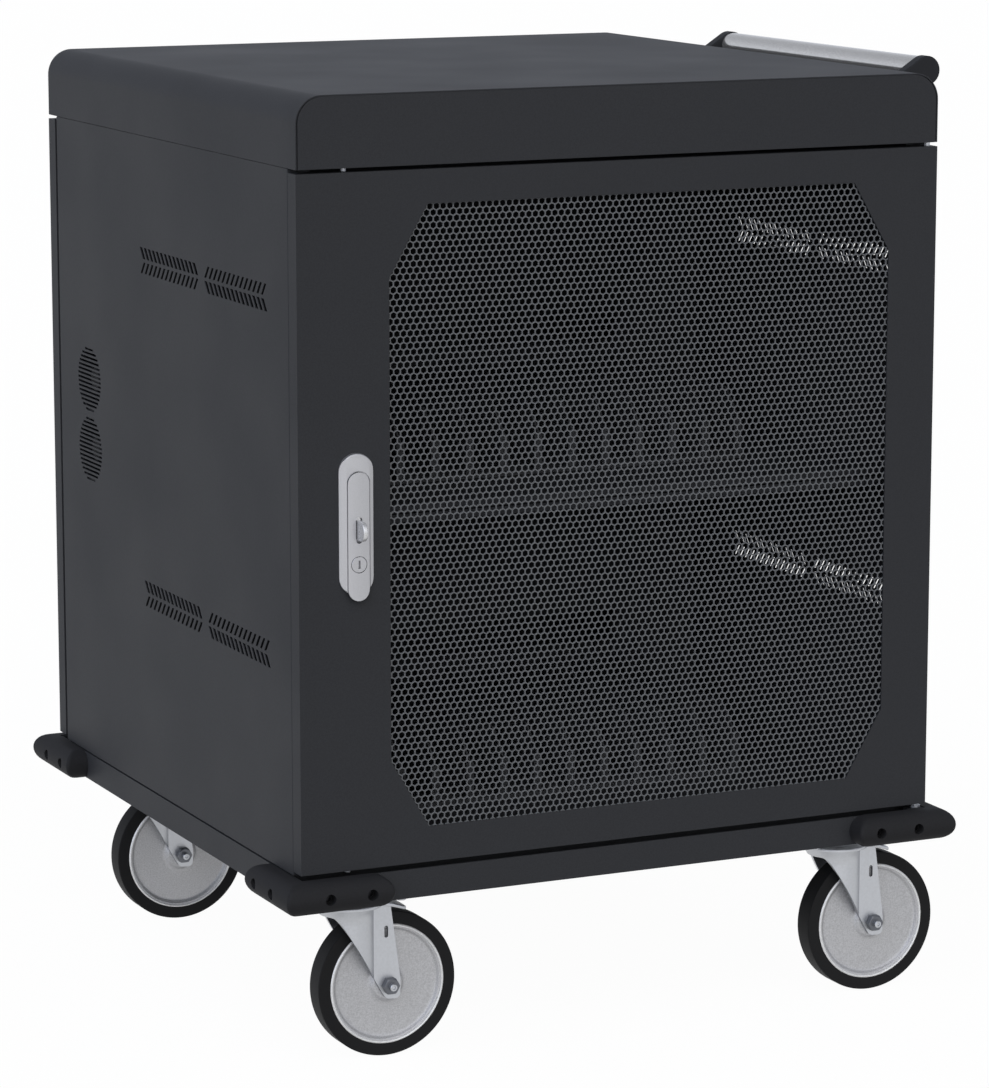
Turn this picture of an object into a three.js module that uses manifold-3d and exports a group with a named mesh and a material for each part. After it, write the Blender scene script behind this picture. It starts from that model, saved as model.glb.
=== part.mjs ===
// Laptop charging cart: a sheet-metal cabinet on four swivel casters, with a perforated front door
// on pin hinges, a lever lock with two rods, two racks of dividers, and a rear power compartment
// behind a second door. Millimetres, +Z up, the floor at Z 0, the front door facing -Y.

import * as THREE from "three";
import { mergeVertices } from "three/addons/utils/BufferGeometryUtils.js";
import Module from "manifold-3d";

const wasm = await Module();
wasm.setup();

// Cabinet body
const cabinetWidth = 600;
const cabinetDepth = 597;
const baseHeight = 30;
const bodyHeight = 587;
const coverHeight = 60;
const coverCornerRadius = 23;
const coverSheet = 2;
const baseSheet = 2;
const floorSetback = 5;
const sheet = 1.5;
const seatGap = 0.2;
const panelReturn = 20;

// Doors
const doorDepth = 17;
const doorReturn = 10;
const doorTopGap = 3.5;
const doorBottomGap = 5;
const frontDoorGap = 2.5;
const rearDoorGap = 4;
const hingeInsetX = 5.7;
const hingeInsetY = 8.6;
const hingePinRadius = 3;
const hingePinGrip = 12;
const hingeCollarRadius = 5;
const hingeCollarHeight = 2;
const hingeTabReach = 14;
const hingeEar = 14;
const hingeEarHeight = 4;
const bearingGap = 0.3;

// How far a cutting tool reaches past the face that it cuts, and a joined piece into its neighbour
const over = 1;

// Window of the front door and the perforated sheet behind it
const windowInset = { left: 82, right: 46.7, top: 28.4, bottom: 30.5 };
const windowChamferX = 34.7;
const windowChamferZ = 59.5;
const meshSheet = 1.2;
const meshBorder = 8;
const meshPitch = 70;
const meshWeb = 12;

// Lock of the front door. Heights on it are measured out from the door's face.
const lockInset = 51.5;
const lockPlateTop = 234;
const lockPlateWidth = 32;
const lockPlateHeight = 118.5;
const lockPlateThickness = 3.8;
const lockCupInner = 11.9;
const lockCupWall = 1.4;
const lockCupDepth = 7;
const lockCupFloor = 2;
const lockRunGap = 0.4;
const leverPivotDrop = 25;
const leverPivotHeight = 7.2;
const leverHalfWidth = 10;
const leverReach = 98;
const leverDepth = 7.4;
const leverWall = 1.6;
const leverTipLength = 18;
const leverPinRadius = 1.5;
const leverBossRadius = 2.6;
const tabDrop = 38.7;
const tabHeight = 19;
const tabThickness = 4;
const tabSlotPlay = 1.5;
const turntableArmHalf = 6;
const turntableArmThickness = 2;
const turntableDiscThickness = 2.2;
const spindleRadius = 4;
const camThickness = 2.2;
const camHalfLength = 20;
const camHalfWidth = 9;
const keyDrop = 67.5;
const keyRadius = 6.5;
const keyFlange = 1.1;
const keywayLength = 7;
const keywayWidth = 2;
const keywayDepth = 3;
const rodOffset = 4.5;
const rodRadius = 3;
const rodStart = 14;
const rodTipGap = 0.3;
const rodGuideHeight = 10;
const rodGuideInset = 40;
const rodGuideHalf = 7;

// Lock of the rear door
const rearLockInset = 35;
const rearLockRadius = 9;
const rearLockFlange = 2.5;
const rearLockFace = 3;
const tongueWidth = 12;
const tongueLength = 32;
const tongueThickness = 2.5;
const tongueBehind = 2;

// Side vents: chevrons of slanted slots, two bands on each side
const ventCentreFromFront = 212;
const ventDrops = [110.5, 410.7];
const ventSlots = 7;
const ventPitch = 20;
const ventFirst = 8.5;
const ventSlant = 7.8;
const ventRise = 10;
const ventRowGap = 3;
const ventSlotWidth = 9;

// Fans behind the left panel
const fanCentreFromFront = 497.8;
const fanDrops = [235.6, 300.4];
const fanSize = 60;
const fanDepth = 25;
const fanBore = 28;
const fanTipGap = 2.5;
const fanHubRadius = 12;
const fanHubLength = 18;
const fanBlades = 5;
const fanBladeThickness = 1.6;
const fanBladeAngle = 0.6;
const fanStrutWidth = 3;
const fanStrutThickness = 3;
const grilleRadius = 30;
const grilleSlots = 7;
const grillePitch = 8;
const grilleSlotHeight = 4.4;

// Inside
const shelfDrop = 295;
const shelfFrontInset = 40;
const shelfLip = 15;
const partitionFromFront = 440;
const cableSlotWidth = 420;
const cableSlotHeight = 28;
const cableSlotAbove = 75;
const rackFins = 13;
const rackPitch = 33.3;
const rackFinThickness = 2;
const rackFinHeight = 62;
const rackFinNose = 25;
const rackLength = 270;
const rackBase = 4;
const rackEdge = 8;
const stripLength = 440;
const stripHeight = 50;
const stripDepth = 42;
const stripAbove = 130;
const stripSockets = 12;
const stripSocketPitch = 35;
const stripSocketSize = 27;
const stripSocketProud = 1.5;
const stripCorner = 5;
const inletFromFront = 497.8;
const inletHeight = 60;
const inletWidth = 48;
const inletTall = 28;
const inletDepth = 36;
const inletWall = 3;
const inletFlange = 7;
const inletFlangeThickness = 2;
const inletPinRadius = 2;
const inletPinSpacing = 9;
const inletPinSunk = 12;

// Handle
const handleOut = 48;
const handleRise = 53.5;
const handleTubeRadius = 12;
const handleTubeWall = 2;
const handleTubeLength = 352;
const handleAhead = 11;
const bracketThickness = 12;
const bracketEndRadius = 13;
const bracketFootTop = 38;
const bracketFootBottom = 9;

// Corner bumpers
const bumperOut = 21;
const bumperHeight = 27;
const bumperDrop = 1;
const bumperArm = 77;
const bumperRound = 12.5;

// Casters
const casterHeight = 148;
const casterInsetX = 63;
const casterInsetFront = 50.3;
const casterInsetRear = 58.7;
const casterTrail = 32;
const casterPlateX = 92;
const casterPlateY = 76;
const casterPlateThickness = 3;
const casterPlateCorner = 6;
const raceRadius = 21;
const raceHeight = 10;
const kingpinRadius = 6;
const kingpinHead = 10;
const kingpinHeadHeight = 2;
const crownThickness = 3.5;
const crownLip = 4.2;
const crownReach = 51;
const crownCorner = 8;
const forkSheet = 3;
const forkHalf = 15;
const forkBend = 17.6;
const forkToeRadius = 11;
const forkLegTop = 33.4;
const forkShoulderDrop = 7;
const forkHeelHeight = 70;
const forkHeelAngle = 1.4 * Math.PI;
const forkSlotWidth = 3;
const forkSlotLength = 9;
const forkSlotAbove = 47;
const forkSlotBack = 3;
const wheelRadius = 63.5;
const tyreHalfWidth = 10.4;
const tyreShoulder = 1.4;
const rimRadius = 52.6;
const rimHalfWidth = 10.9;
const rimLip = 6;
const webHalf = 7.2;
const hubRadius = 11;
const hubGap = 0.4;
const axleRadius = 5;
const axleNutRadius = 8.7;
const axleNutHeight = 7;
const axleEndLength = 3;

// Facets of round pieces
const pinSides = 10;
const axleSides = 8;
const leverPinSides = 8;
const bumperSides = 8;
const kingpinSides = 10;
const tubeSides = 16;
const lockSides = 14;
const wheelSides = 20;
const inletPinSides = 6;
const nutSides = 6;
const roundSteps = 3;
const coverSteps = 4;
const crownSteps = 4;
const fanSteps = 6;
const armSteps = 8;

// Levels and faces that follow from the sizes above
const baseBottom = casterHeight;
const bodyBottom = baseBottom + baseHeight;
const bodyTop = bodyBottom + bodyHeight;
const coverTop = bodyTop + coverHeight;
const halfWidth = cabinetWidth / 2;
const halfDepth = cabinetDepth / 2;
const doorTop = bodyTop - doorTopGap;
const doorBottom = bodyBottom;
const trayTop = bodyBottom - doorBottomGap;
const panelFront = -halfDepth + doorDepth + frontDoorGap;
const panelRear = halfDepth - doorDepth - rearDoorGap;
const shelfTop = bodyTop - shelfDrop;
const partitionFront = -halfDepth + partitionFromFront;
const insideHalf = halfWidth - sheet - seatGap;
const hingeX = halfWidth - hingeInsetX;

// Finishes
const finish = (color, roughness, metalness) =>
  new THREE.MeshStandardMaterial({ color, roughness, metalness });
const bodyPaint = finish(0x424347, 0.6, 0.1);
const doorPaint = finish(0x333335, 0.6, 0.1);
const innerPaint = finish(0x2a2b2d, 0.6, 0.1);
const bumperRubber = finish(0x2a2a2c, 0.75, 0);
const blackPlastic = finish(0x1e1f21, 0.5, 0);
const tubeMetal = finish(0xb4b5b8, 0.35, 1);
const lockMetal = finish(0xb4b6ba, 0.35, 1);
const zincSteel = finish(0xb4b6b9, 0.4, 1);
const wheelPlastic = finish(0xa5a7ac, 0.55, 0.1);
const tyreRubber = finish(0x1f1f20, 0.8, 0);

// A closed geometry as a solid that can be joined and cut
function toSolid(geometry) {
  const bare = geometry.clone();
  bare.deleteAttribute("normal");
  bare.deleteAttribute("uv");
  const merged = mergeVertices(bare, 1e-4);
  const corners = merged.index.array;
  const kept = [];
  for (let i = 0; i < corners.length; i += 3) {
    const [a, b, c] = [corners[i], corners[i + 1], corners[i + 2]];
    if (a !== b && b !== c && c !== a) kept.push(a, b, c);
  }
  return new wasm.Manifold(new wasm.Mesh({
    numProp: 3,
    vertProperties: merged.attributes.position.array,
    triVerts: Uint32Array.from(kept),
  }));
}

function toGeometry(body) {
  const { vertProperties, triVerts } = body.getMesh();
  const geometry = new THREE.BufferGeometry();
  geometry.setAttribute("position", new THREE.BufferAttribute(vertProperties, 3));
  geometry.setIndex(new THREE.BufferAttribute(triVerts, 1));
  return geometry;
}

const join = (...pieces) => toGeometry(pieces.map(toSolid).reduce((a, b) => a.add(b)));
const cut = (piece, ...tools) =>
  toGeometry(toSolid(piece).subtract(tools.map(toSolid).reduce((a, b) => a.add(b))));
const common = (...pieces) => toGeometry(pieces.map(toSolid).reduce((a, b) => a.intersect(b)));

// Outlines are drawn in (x, y) for an extrusion along z, (x, z) along y and (y, z) along x
function extrude(outline, axis, from, to, curveSegments = roundSteps) {
  const options = { depth: to - from, bevelEnabled: false, curveSegments };
  const geometry = new THREE.ExtrudeGeometry(outline, options);
  if (axis === "z") return geometry.translate(0, 0, from);
  if (axis === "y") return geometry.rotateX(Math.PI / 2).translate(0, to, 0);
  const turned = new THREE.Matrix4().makeBasis(
    new THREE.Vector3(0, 1, 0), new THREE.Vector3(0, 0, 1), new THREE.Vector3(1, 0, 0));
  return geometry.applyMatrix4(turned).translate(from, 0, 0);
}

const block = ([x0, x1], [y0, y1], [z0, z1]) =>
  new THREE.BoxGeometry(x1 - x0, y1 - y0, z1 - z0).translate((x0 + x1) / 2, (y0 + y1) / 2, (z0 + z1) / 2);

const span = (a, b) => [Math.min(a, b), Math.max(a, b)];

const polygon = (points) => new THREE.Shape(points.map(([x, y]) => new THREE.Vector2(x, y)));

const rectangle = (x0, x1, y0, y1) => polygon([[x0, y0], [x1, y0], [x1, y1], [x0, y1]]);

function circle(x, y, radius) {
  const shape = new THREE.Shape();
  shape.absarc(x, y, radius, 0, 2 * Math.PI, false);
  return shape;
}

function roundedRectangle(x0, x1, y0, y1, r) {
  const shape = new THREE.Shape();
  shape.absarc(x1 - r, y1 - r, r, 0, Math.PI / 2, false);
  shape.absarc(x0 + r, y1 - r, r, Math.PI / 2, Math.PI, false);
  shape.absarc(x0 + r, y0 + r, r, Math.PI, 1.5 * Math.PI, false);
  shape.absarc(x1 - r, y0 + r, r, 1.5 * Math.PI, 2 * Math.PI, false);
  return shape;
}

// A round bar along an axis; place holds the other two coordinates in x, y, z order
function bar(radius, axis, from, to, place, sides = pinSides) {
  const geometry = new THREE.CylinderGeometry(radius, radius, to - from, sides);
  const middle = (from + to) / 2;
  if (axis === "y") return geometry.translate(place[0], middle, place[1]);
  if (axis === "z") return geometry.rotateX(Math.PI / 2).translate(place[0], place[1], middle);
  return geometry.rotateZ(Math.PI / 2).translate(middle, place[0], place[1]);
}

// A profile of (radius, height) points turned about the Z axis
function turned(profile, sides) {
  const points = profile.map(([r, z]) => new THREE.Vector2(r, z));
  return new THREE.LatheGeometry(points, sides).rotateX(Math.PI / 2);
}

const cart = new THREE.Group();

function add(name, geometry, material, parent = cart) {
  const mesh = new THREE.Mesh(geometry, material);
  mesh.name = name;
  parent.add(mesh);
  return mesh;
}

// Base: an open tray whose rim leaves a gap below the doors, with hinge ears in two corners
{
  const tray = cut(
    block([-halfWidth, halfWidth], [-halfDepth, halfDepth], [baseBottom, trayTop]),
    block([-halfWidth + baseSheet, halfWidth - baseSheet], [-halfDepth + baseSheet, halfDepth - baseSheet],
      [baseBottom + baseSheet, trayTop + over]));
  const ears = [-1, 1].map((side) => {
    const inner = side * (halfDepth - baseSheet / 2 - hingeEar);
    const outer = side * (halfDepth - baseSheet / 2);
    return block([halfWidth - baseSheet / 2 - hingeEar, halfWidth - baseSheet / 2],
      span(inner, outer), [trayTop - hingeEarHeight, trayTop]);
  });
  const holes = [-1, 1].map((side) => bar(hingePinRadius + bearingGap, "z",
    trayTop - hingeEarHeight - over, trayTop + over, [hingeX, side * (halfDepth - hingeInsetY)]));
  add("base_tray", cut(join(tray, ...ears), ...holes), bodyPaint);

  const floorHalf = halfWidth - baseSheet - seatGap;
  const floorFront = panelFront + floorSetback;
  const floorRear = panelRear - floorSetback;
  const floorUnder = baseBottom + baseSheet + seatGap;
  add("cabinet_floor", cut(
    block([-floorHalf, floorHalf], [floorFront, floorRear], [floorUnder, bodyBottom]),
    block([-floorHalf + sheet, floorHalf - sheet], [floorFront + sheet, floorRear - sheet],
      [floorUnder - over, bodyBottom - sheet])), innerPaint);
}

// Chevron slots of one band, mirrored about its centre, as holes for a panel drawn in (y, z)
function chevronSlots(centreY, centreZ) {
  const slots = [];
  for (const along of [-1, 1]) {
    for (const up of [-1, 1]) {
      for (let i = 0; i < ventSlots; i++) {
        const near = ventFirst + i * ventPitch;
        const low = ventRowGap / 2;
        const corners = [
          [near, low], [near + ventSlotWidth, low],
          [near + ventSlant + ventSlotWidth, low + ventRise], [near + ventSlant, low + ventRise]];
        slots.push(polygon(corners.map(([y, z]) => [centreY + along * y, centreZ + up * z])));
      }
    }
  }
  return slots;
}

// Round grille of level slots, each as long as the circle allows
function grilleSlotsAt(centreY, centreZ) {
  const slots = [];
  for (let i = 0; i < grilleSlots; i++) {
    const z = (i - (grilleSlots - 1) / 2) * grillePitch;
    const half = Math.sqrt(grilleRadius ** 2 - z ** 2);
    slots.push(rectangle(centreY - half, centreY + half,
      centreZ + z - grilleSlotHeight / 2, centreZ + z + grilleSlotHeight / 2));
  }
  return slots;
}

const fanY = -halfDepth + fanCentreFromFront;
const fanZs = fanDrops.map((drop) => bodyTop - drop);
const inletY = -halfDepth + inletFromFront;
const inletZ = bodyBottom + inletHeight;

// Side panels: a flat face with its vents, and a return along the front and rear edges
for (const [name, side] of [["side_panel_left", -1], ["side_panel_right", 1]]) {
  const [low, high] = [trayTop + seatGap, bodyTop - seatGap];
  const holes = ventDrops.flatMap((drop) =>
    chevronSlots(-halfDepth + ventCentreFromFront, bodyTop - drop));
  if (side < 0) holes.push(...fanZs.flatMap((z) => grilleSlotsAt(fanY, z)));
  else {
    const [y, z] = [inletWidth / 2 + seatGap, inletTall / 2 + seatGap];
    holes.push(rectangle(inletY - y, inletY + y, inletZ - z, inletZ + z));
  }
  const [outer, inner, lip] = [0, sheet, panelReturn].map((inset) => side * (halfWidth - inset));
  const folded = polygon([
    [outer, panelFront], [outer, panelRear], [lip, panelRear], [lip, panelRear - sheet],
    [inner, panelRear - sheet], [inner, panelFront + sheet], [lip, panelFront + sheet], [lip, panelFront]]);
  const [x0, x1] = span(outer + side, inner - side);
  add(name, cut(
    extrude(folded, "z", low, high),
    ...holes.map((hole) => extrude(hole, "x", x0, x1))), bodyPaint);
}

// Top: a folded cover with round side edges, its end panels, and the roof panel that closes it below
{
  const [h, r, t] = [halfWidth, coverCornerRadius, coverSheet];
  const cover = new THREE.Shape();
  cover.moveTo(-h, bodyTop);
  cover.lineTo(-h + t, bodyTop);
  cover.absarc(-h + r, coverTop - r, r - t, Math.PI, Math.PI / 2, true);
  cover.absarc(h - r, coverTop - r, r - t, Math.PI / 2, 0, true);
  cover.lineTo(h - t, bodyTop);
  cover.lineTo(h, bodyTop);
  cover.absarc(h - r, coverTop - r, r, 0, Math.PI / 2, false);
  cover.absarc(-h + r, coverTop - r, r, Math.PI / 2, Math.PI, false);
  add("top_cover", extrude(cover, "y", -halfDepth, halfDepth, coverSteps), bodyPaint);

  const inner = t + seatGap;
  const panel = new THREE.Shape();
  panel.moveTo(-h + inner, bodyTop);
  panel.lineTo(h - inner, bodyTop);
  panel.absarc(h - r, coverTop - r, r - inner, 0, Math.PI / 2, false);
  panel.absarc(-h + r, coverTop - r, r - inner, Math.PI / 2, Math.PI, false);
  add("top_front_panel", extrude(panel, "y", -halfDepth, -halfDepth + t, coverSteps), doorPaint);
  add("top_rear_panel", extrude(panel, "y", halfDepth - t, halfDepth, coverSteps), doorPaint);

  const roof = block([-h + inner, h - inner], [-halfDepth + inner, halfDepth - inner],
    [bodyTop, bodyTop + sheet]);
  const holes = [-1, 1].map((side) => bar(hingePinRadius + bearingGap, "z",
    bodyTop - over, bodyTop + sheet + over, [hingeX, side * (halfDepth - hingeInsetY)]));
  add("roof_panel", cut(roof, ...holes), innerPaint);
}

// Hinge pins: a tab rests on the roof, a collar on the base's ear, and the pin runs into the door's edge
for (const [door, side] of [["front", -1], ["rear", 1]]) {
  const place = [hingeX, side * (halfDepth - hingeInsetY)];
  const roofTop = bodyTop + sheet + seatGap;
  const earTop = trayTop + seatGap;
  add(`${door}_hinge_pin_upper`, join(
    bar(hingePinRadius, "z", doorTop - hingePinGrip, roofTop + hingeCollarHeight, place),
    block([hingeX - hingeTabReach, hingeX + hingePinRadius],
      [place[1] - hingeCollarRadius, place[1] + hingeCollarRadius],
      [roofTop, roofTop + hingeCollarHeight])), zincSteel);
  add(`${door}_hinge_pin_lower`, join(
    bar(hingePinRadius, "z", trayTop - hingeEarHeight, doorBottom + hingePinGrip, place),
    bar(hingeCollarRadius, "z", earTop, earTop + hingeCollarHeight, place)), zincSteel);
}

// A folded door skin: front sheet, side walls with returns, top and bottom walls with the pins' holes.
// It is drawn as the front door; facing turns it for the rear.
function doorSkin(facing) {
  const front = facing * halfDepth;
  const at = (depth) => front - facing * depth;
  const [h, d, t] = [halfWidth, doorDepth, sheet];
  const profile = polygon([
    [-h, at(0)], [h, at(0)], [h, at(d)], [h - doorReturn, at(d)], [h - doorReturn, at(d - t)],
    [h - t, at(d - t)], [h - t, at(t)], [-h + t, at(t)], [-h + t, at(d - t)],
    [-h + doorReturn, at(d - t)], [-h + doorReturn, at(d)], [-h, at(d)]]);
  const depths = span(at(0), at(d));
  const skin = join(
    extrude(profile, "z", doorBottom, doorTop),
    block([-h, h], depths, [doorBottom, doorBottom + t]),
    block([-h, h], depths, [doorTop - t, doorTop]));
  const pinHole = bar(hingePinRadius + bearingGap, "z", doorBottom - over, doorTop + over,
    [hingeX, at(hingeInsetY)]);
  return cut(skin, pinHole);
}

// The window's outline, widened on every side by a border
function windowOutline(border) {
  const left = -halfWidth + windowInset.left - border;
  const right = halfWidth - windowInset.right + border;
  const low = doorBottom + windowInset.bottom - border;
  const high = doorTop - windowInset.top + border;
  const [cx, cz] = [windowChamferX, windowChamferZ];
  return polygon([
    [left, low + cz], [left + cx, low], [right - cx, low], [right, low + cz],
    [right, high - cz], [right - cx, high], [left + cx, high], [left, high - cz]]);
}

const doorFront = -halfDepth;
const lockX = -halfWidth + lockInset;
const pivotZ = bodyTop - lockPlateTop - leverPivotDrop;
const rodX = lockX - rodOffset;
const camBack = lockCupDepth + lockRunGap + camThickness;
const rodY = doorFront + camBack + lockRunGap + rodRadius;

// Front door: skin with its window, the lock's hole and two guides for the rods
{
  const guides = [doorTop - rodGuideInset, doorBottom + rodGuideInset].map((z) =>
    block([rodX - rodGuideHalf, rodX + rodGuideHalf], [doorFront + sheet / 2, doorFront + doorDepth],
      [z - rodGuideHeight / 2, z + rodGuideHeight / 2]));
  const rodHole = bar(rodRadius + bearingGap, "z", doorBottom - over, doorTop + over, [rodX, rodY]);
  const cupHole = bar(lockCupInner + lockCupWall + seatGap, "y", doorFront - over, doorFront + sheet + over,
    [lockX, pivotZ], lockSides);
  const opening = extrude(windowOutline(0), "y", doorFront - over, doorFront + sheet + over);
  add("front_door_skin", cut(join(doorSkin(-1), ...guides), opening, cupHole, rodHole), doorPaint);

  // Hexagonal holes in staggered rows, those whole within the window
  const meshFront = doorFront + sheet + seatGap;
  const holes = [];
  const left = -halfWidth + windowInset.left;
  const right = halfWidth - windowInset.right;
  const low = doorBottom + windowInset.bottom;
  const high = doorTop - windowInset.top;
  const [middleX, middleZ] = [(left + right) / 2, (low + high) / 2];
  const rowPitch = meshPitch * Math.sqrt(0.75);
  const holeRadius = (meshPitch - meshWeb) / Math.sqrt(3);
  const rows = Math.floor((high - low) / 2 / rowPitch);
  const columns = Math.ceil((right - left) / 2 / meshPitch) + 1;
  const slope = windowChamferZ / windowChamferX;
  for (let row = -rows; row <= rows; row++) {
    for (let column = -columns; column <= columns; column++) {
      const x = (column + (row % 2 ? 0.5 : 0)) * meshPitch;
      const z = row * rowPitch;
      const [outX, outZ] = [Math.abs(x) + meshPitch / 2, Math.abs(z) + holeRadius];
      const corner = (right - left) / 2 - windowChamferX + (((high - low) / 2 - outZ) / slope);
      if (outX > (right - left) / 2 || outZ > (high - low) / 2 || outX > corner) continue;
      const hexagon = [0, 1, 2, 3, 4, 5].map((k) => {
        const angle = Math.PI / 6 + (k * Math.PI) / 3;
        return [middleX + x + holeRadius * Math.cos(angle), middleZ + z + holeRadius * Math.sin(angle)];
      });
      holes.push(extrude(polygon(hexagon), "y", meshFront - over, meshFront + meshSheet + over));
    }
  }
  const perforated = extrude(windowOutline(meshBorder), "y", meshFront, meshFront + meshSheet);
  add("front_door_mesh", cut(perforated, ...holes), doorPaint);
}

// Lock of the front door. out() turns a height above the door's face into a place on Y.
{
  const out = (height) => doorFront - height;
  const plateOut = seatGap + lockPlateThickness;
  const plateTop = pivotZ + leverPivotDrop;
  const plateShape = roundedRectangle(lockX - lockPlateWidth / 2, lockX + lockPlateWidth / 2,
    plateTop - lockPlateHeight, plateTop, lockPlateWidth / 2);
  const cup = bar(lockCupInner + lockCupWall, "y", out(plateOut - over), out(-lockCupDepth),
    [lockX, pivotZ], lockSides);
  const well = bar(lockCupInner, "y", out(plateOut + over), out(lockCupFloor - lockCupDepth),
    [lockX, pivotZ], lockSides);
  const bush = bar(spindleRadius + bearingGap, "y", out(0), out(-lockCupDepth - over), [lockX, pivotZ]);
  const plate = extrude(plateShape, "y", out(plateOut), out(seatGap));
  add("lock_plate", cut(join(plate, cup), well, bush), lockMetal);

  // Turntable: disc in the cup, neck and pin for the lever, arm with the half-moon tab, spindle and cam
  const rim = plateOut + lockRunGap;
  const discLow = lockCupFloor - lockCupDepth + lockRunGap;
  const discRadius = lockCupInner - 2 * lockRunGap;
  const neckHalf = turntableArmHalf - lockRunGap;
  const bossHalf = leverHalfWidth - leverWall - 3 * lockRunGap;
  const tabZ = pivotZ - tabDrop;
  const tabBend = rim + leverDepth - leverWall / 2;
  const tab = new THREE.Shape();
  tab.moveTo(out(rim), tabZ - tabHeight / 2);
  tab.lineTo(out(rim), tabZ + tabHeight / 2);
  tab.absarc(out(tabBend), tabZ, tabHeight / 2, Math.PI / 2, 1.5 * Math.PI, false);
  const cam = new THREE.Shape();
  cam.absellipse(lockX, pivotZ, camHalfWidth, camHalfLength, 0, 2 * Math.PI, false);
  add("lock_turntable", join(
    bar(discRadius, "y", out(discLow + turntableDiscThickness), out(discLow), [lockX, pivotZ], lockSides),
    bar(spindleRadius, "y", out(discLow + over), out(-camBack), [lockX, pivotZ]),
    extrude(cam, "y", out(-camBack + camThickness), out(-camBack)),
    block([lockX - neckHalf, lockX + neckHalf], [out(leverPivotHeight), out(discLow + over)],
      [pivotZ - leverBossRadius, pivotZ + leverBossRadius]),
    bar(leverBossRadius, "x", lockX - bossHalf, lockX + bossHalf, [out(leverPivotHeight), pivotZ]),
    bar(leverPinRadius, "x", lockX - leverHalfWidth + seatGap, lockX + leverHalfWidth - seatGap,
      [out(leverPivotHeight), pivotZ], leverPinSides),
    block([lockX - turntableArmHalf, lockX + turntableArmHalf],
      [out(rim + turntableArmThickness), out(rim)], [tabZ - tabHeight / 2 - over, pivotZ]),
    extrude(tab, "x", lockX - tabThickness / 2, lockX + tabThickness / 2)), lockMetal);

  // Lever: a hollow cast bar with a solid tip
  const face = rim + leverDepth;
  const tip = pivotZ - leverReach;
  const lever = extrude(roundedRectangle(lockX - leverHalfWidth, lockX + leverHalfWidth,
    tip, pivotZ + leverHalfWidth, leverHalfWidth), "y", out(face), out(rim));
  const inner = leverHalfWidth - leverWall;
  const hollow = extrude(roundedRectangle(lockX - inner, lockX + inner, tip + leverTipLength,
    pivotZ + inner, inner), "y", out(face - leverWall), out(rim - over));
  const slotHalf = tabThickness / 2 + lockRunGap;
  const slot = block([lockX - slotHalf, lockX + slotHalf], [out(face + over), out(rim)],
    [tabZ - tabHeight / 2 - tabSlotPlay, tabZ + tabHeight / 2 + tabSlotPlay]);
  const keyZ = pivotZ - keyDrop;
  const keyHole = bar(keyRadius + bearingGap, "y", out(face + over), out(rim), [lockX, keyZ], lockSides);
  const pinHole = bar(leverPinRadius + bearingGap, "x", lockX - leverHalfWidth - over,
    lockX + leverHalfWidth + over, [out(leverPivotHeight), pivotZ], leverPinSides);
  add("lock_lever", cut(lever, hollow, slot, keyHole, pinHole), lockMetal);

  const under = face - leverWall - bearingGap;
  add("key_cylinder", cut(
    join(
      bar(keyRadius, "y", out(face), out(rim + bearingGap), [lockX, keyZ], lockSides),
      bar(keyRadius + keyFlange, "y", out(under), out(under - leverWall), [lockX, keyZ], lockSides)),
    block([lockX - keywayWidth / 2, lockX + keywayWidth / 2], [out(face + over), out(face - keywayDepth)],
      [keyZ - keywayLength / 2, keyZ + keywayLength / 2])), lockMetal);

  const rod = (from, to) => bar(rodRadius, "z", from, to, [rodX, rodY]);
  add("lock_rod_upper", rod(pivotZ + rodStart, bodyTop - rodTipGap), zincSteel);
  add("lock_rod_lower", rod(trayTop + rodTipGap, pivotZ - rodStart), zincSteel);
}

// Rear door with its cam lock; the tongue points up, clear of the side panel's return
{
  const x = -halfWidth + rearLockInset;
  const z = (doorTop + doorBottom) / 2;
  const hole = bar(rearLockRadius + bearingGap, "y", halfDepth - sheet - over, halfDepth + over,
    [x, z], lockSides);
  add("rear_door_skin", cut(doorSkin(1), hole), bodyPaint);

  const tongueRear = panelRear - sheet - tongueBehind;
  const tongueFront = tongueRear - tongueThickness;
  const face = halfDepth + seatGap + rearLockFace;
  add("rear_lock", cut(
    join(
      bar(rearLockRadius, "y", tongueFront, face, [x, z], lockSides),
      bar(rearLockRadius + rearLockFlange, "y", halfDepth + seatGap, face, [x, z], lockSides),
      block([x - tongueWidth / 2, x + tongueWidth / 2], [tongueFront, tongueRear], [z, z + tongueLength])),
    block([x - keywayWidth / 2, x + keywayWidth / 2], [face - keywayDepth, face + over],
      [z - keywayLength / 2, z + keywayLength / 2])), lockMetal);
}

// Middle shelf: a sheet with a lip turned down at the front, rear and sides
const shelfFront = -halfDepth + shelfFrontInset;
const shelfRear = partitionFront - seatGap;
add("middle_shelf", cut(
  block([-insideHalf, insideHalf], [shelfFront, shelfRear], [shelfTop - shelfLip, shelfTop]),
  block([-insideHalf + sheet, insideHalf - sheet], [shelfFront + sheet, shelfRear - sheet],
    [shelfTop - shelfLip - over, shelfTop - sheet])), innerPaint);

// Divider racks: upright fins with sloped noses on a base strip, one on the shelf, one on the floor
for (const [name, support] of [["divider_rack_upper", shelfTop], ["divider_rack_lower", bodyBottom]]) {
  const low = support + seatGap;
  const rear = shelfRear - seatGap;
  const front = rear - rackLength;
  const reach = ((rackFins - 1) / 2) * rackPitch;
  const fin = polygon([[front, low], [rear, low], [rear, low + rackFinHeight],
    [front + rackFinNose, low + rackFinHeight], [front, low + rackFinHeight - rackFinNose]]);
  const fins = Array.from({ length: rackFins }, (_, i) => {
    const x = i * rackPitch - reach;
    return extrude(fin, "x", x - rackFinThickness / 2, x + rackFinThickness / 2);
  });
  const base = block([-reach - rackEdge, reach + rackEdge], [front, rear], [low, low + rackBase]);
  add(name, join(base, ...fins), blackPlastic);
}

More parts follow.
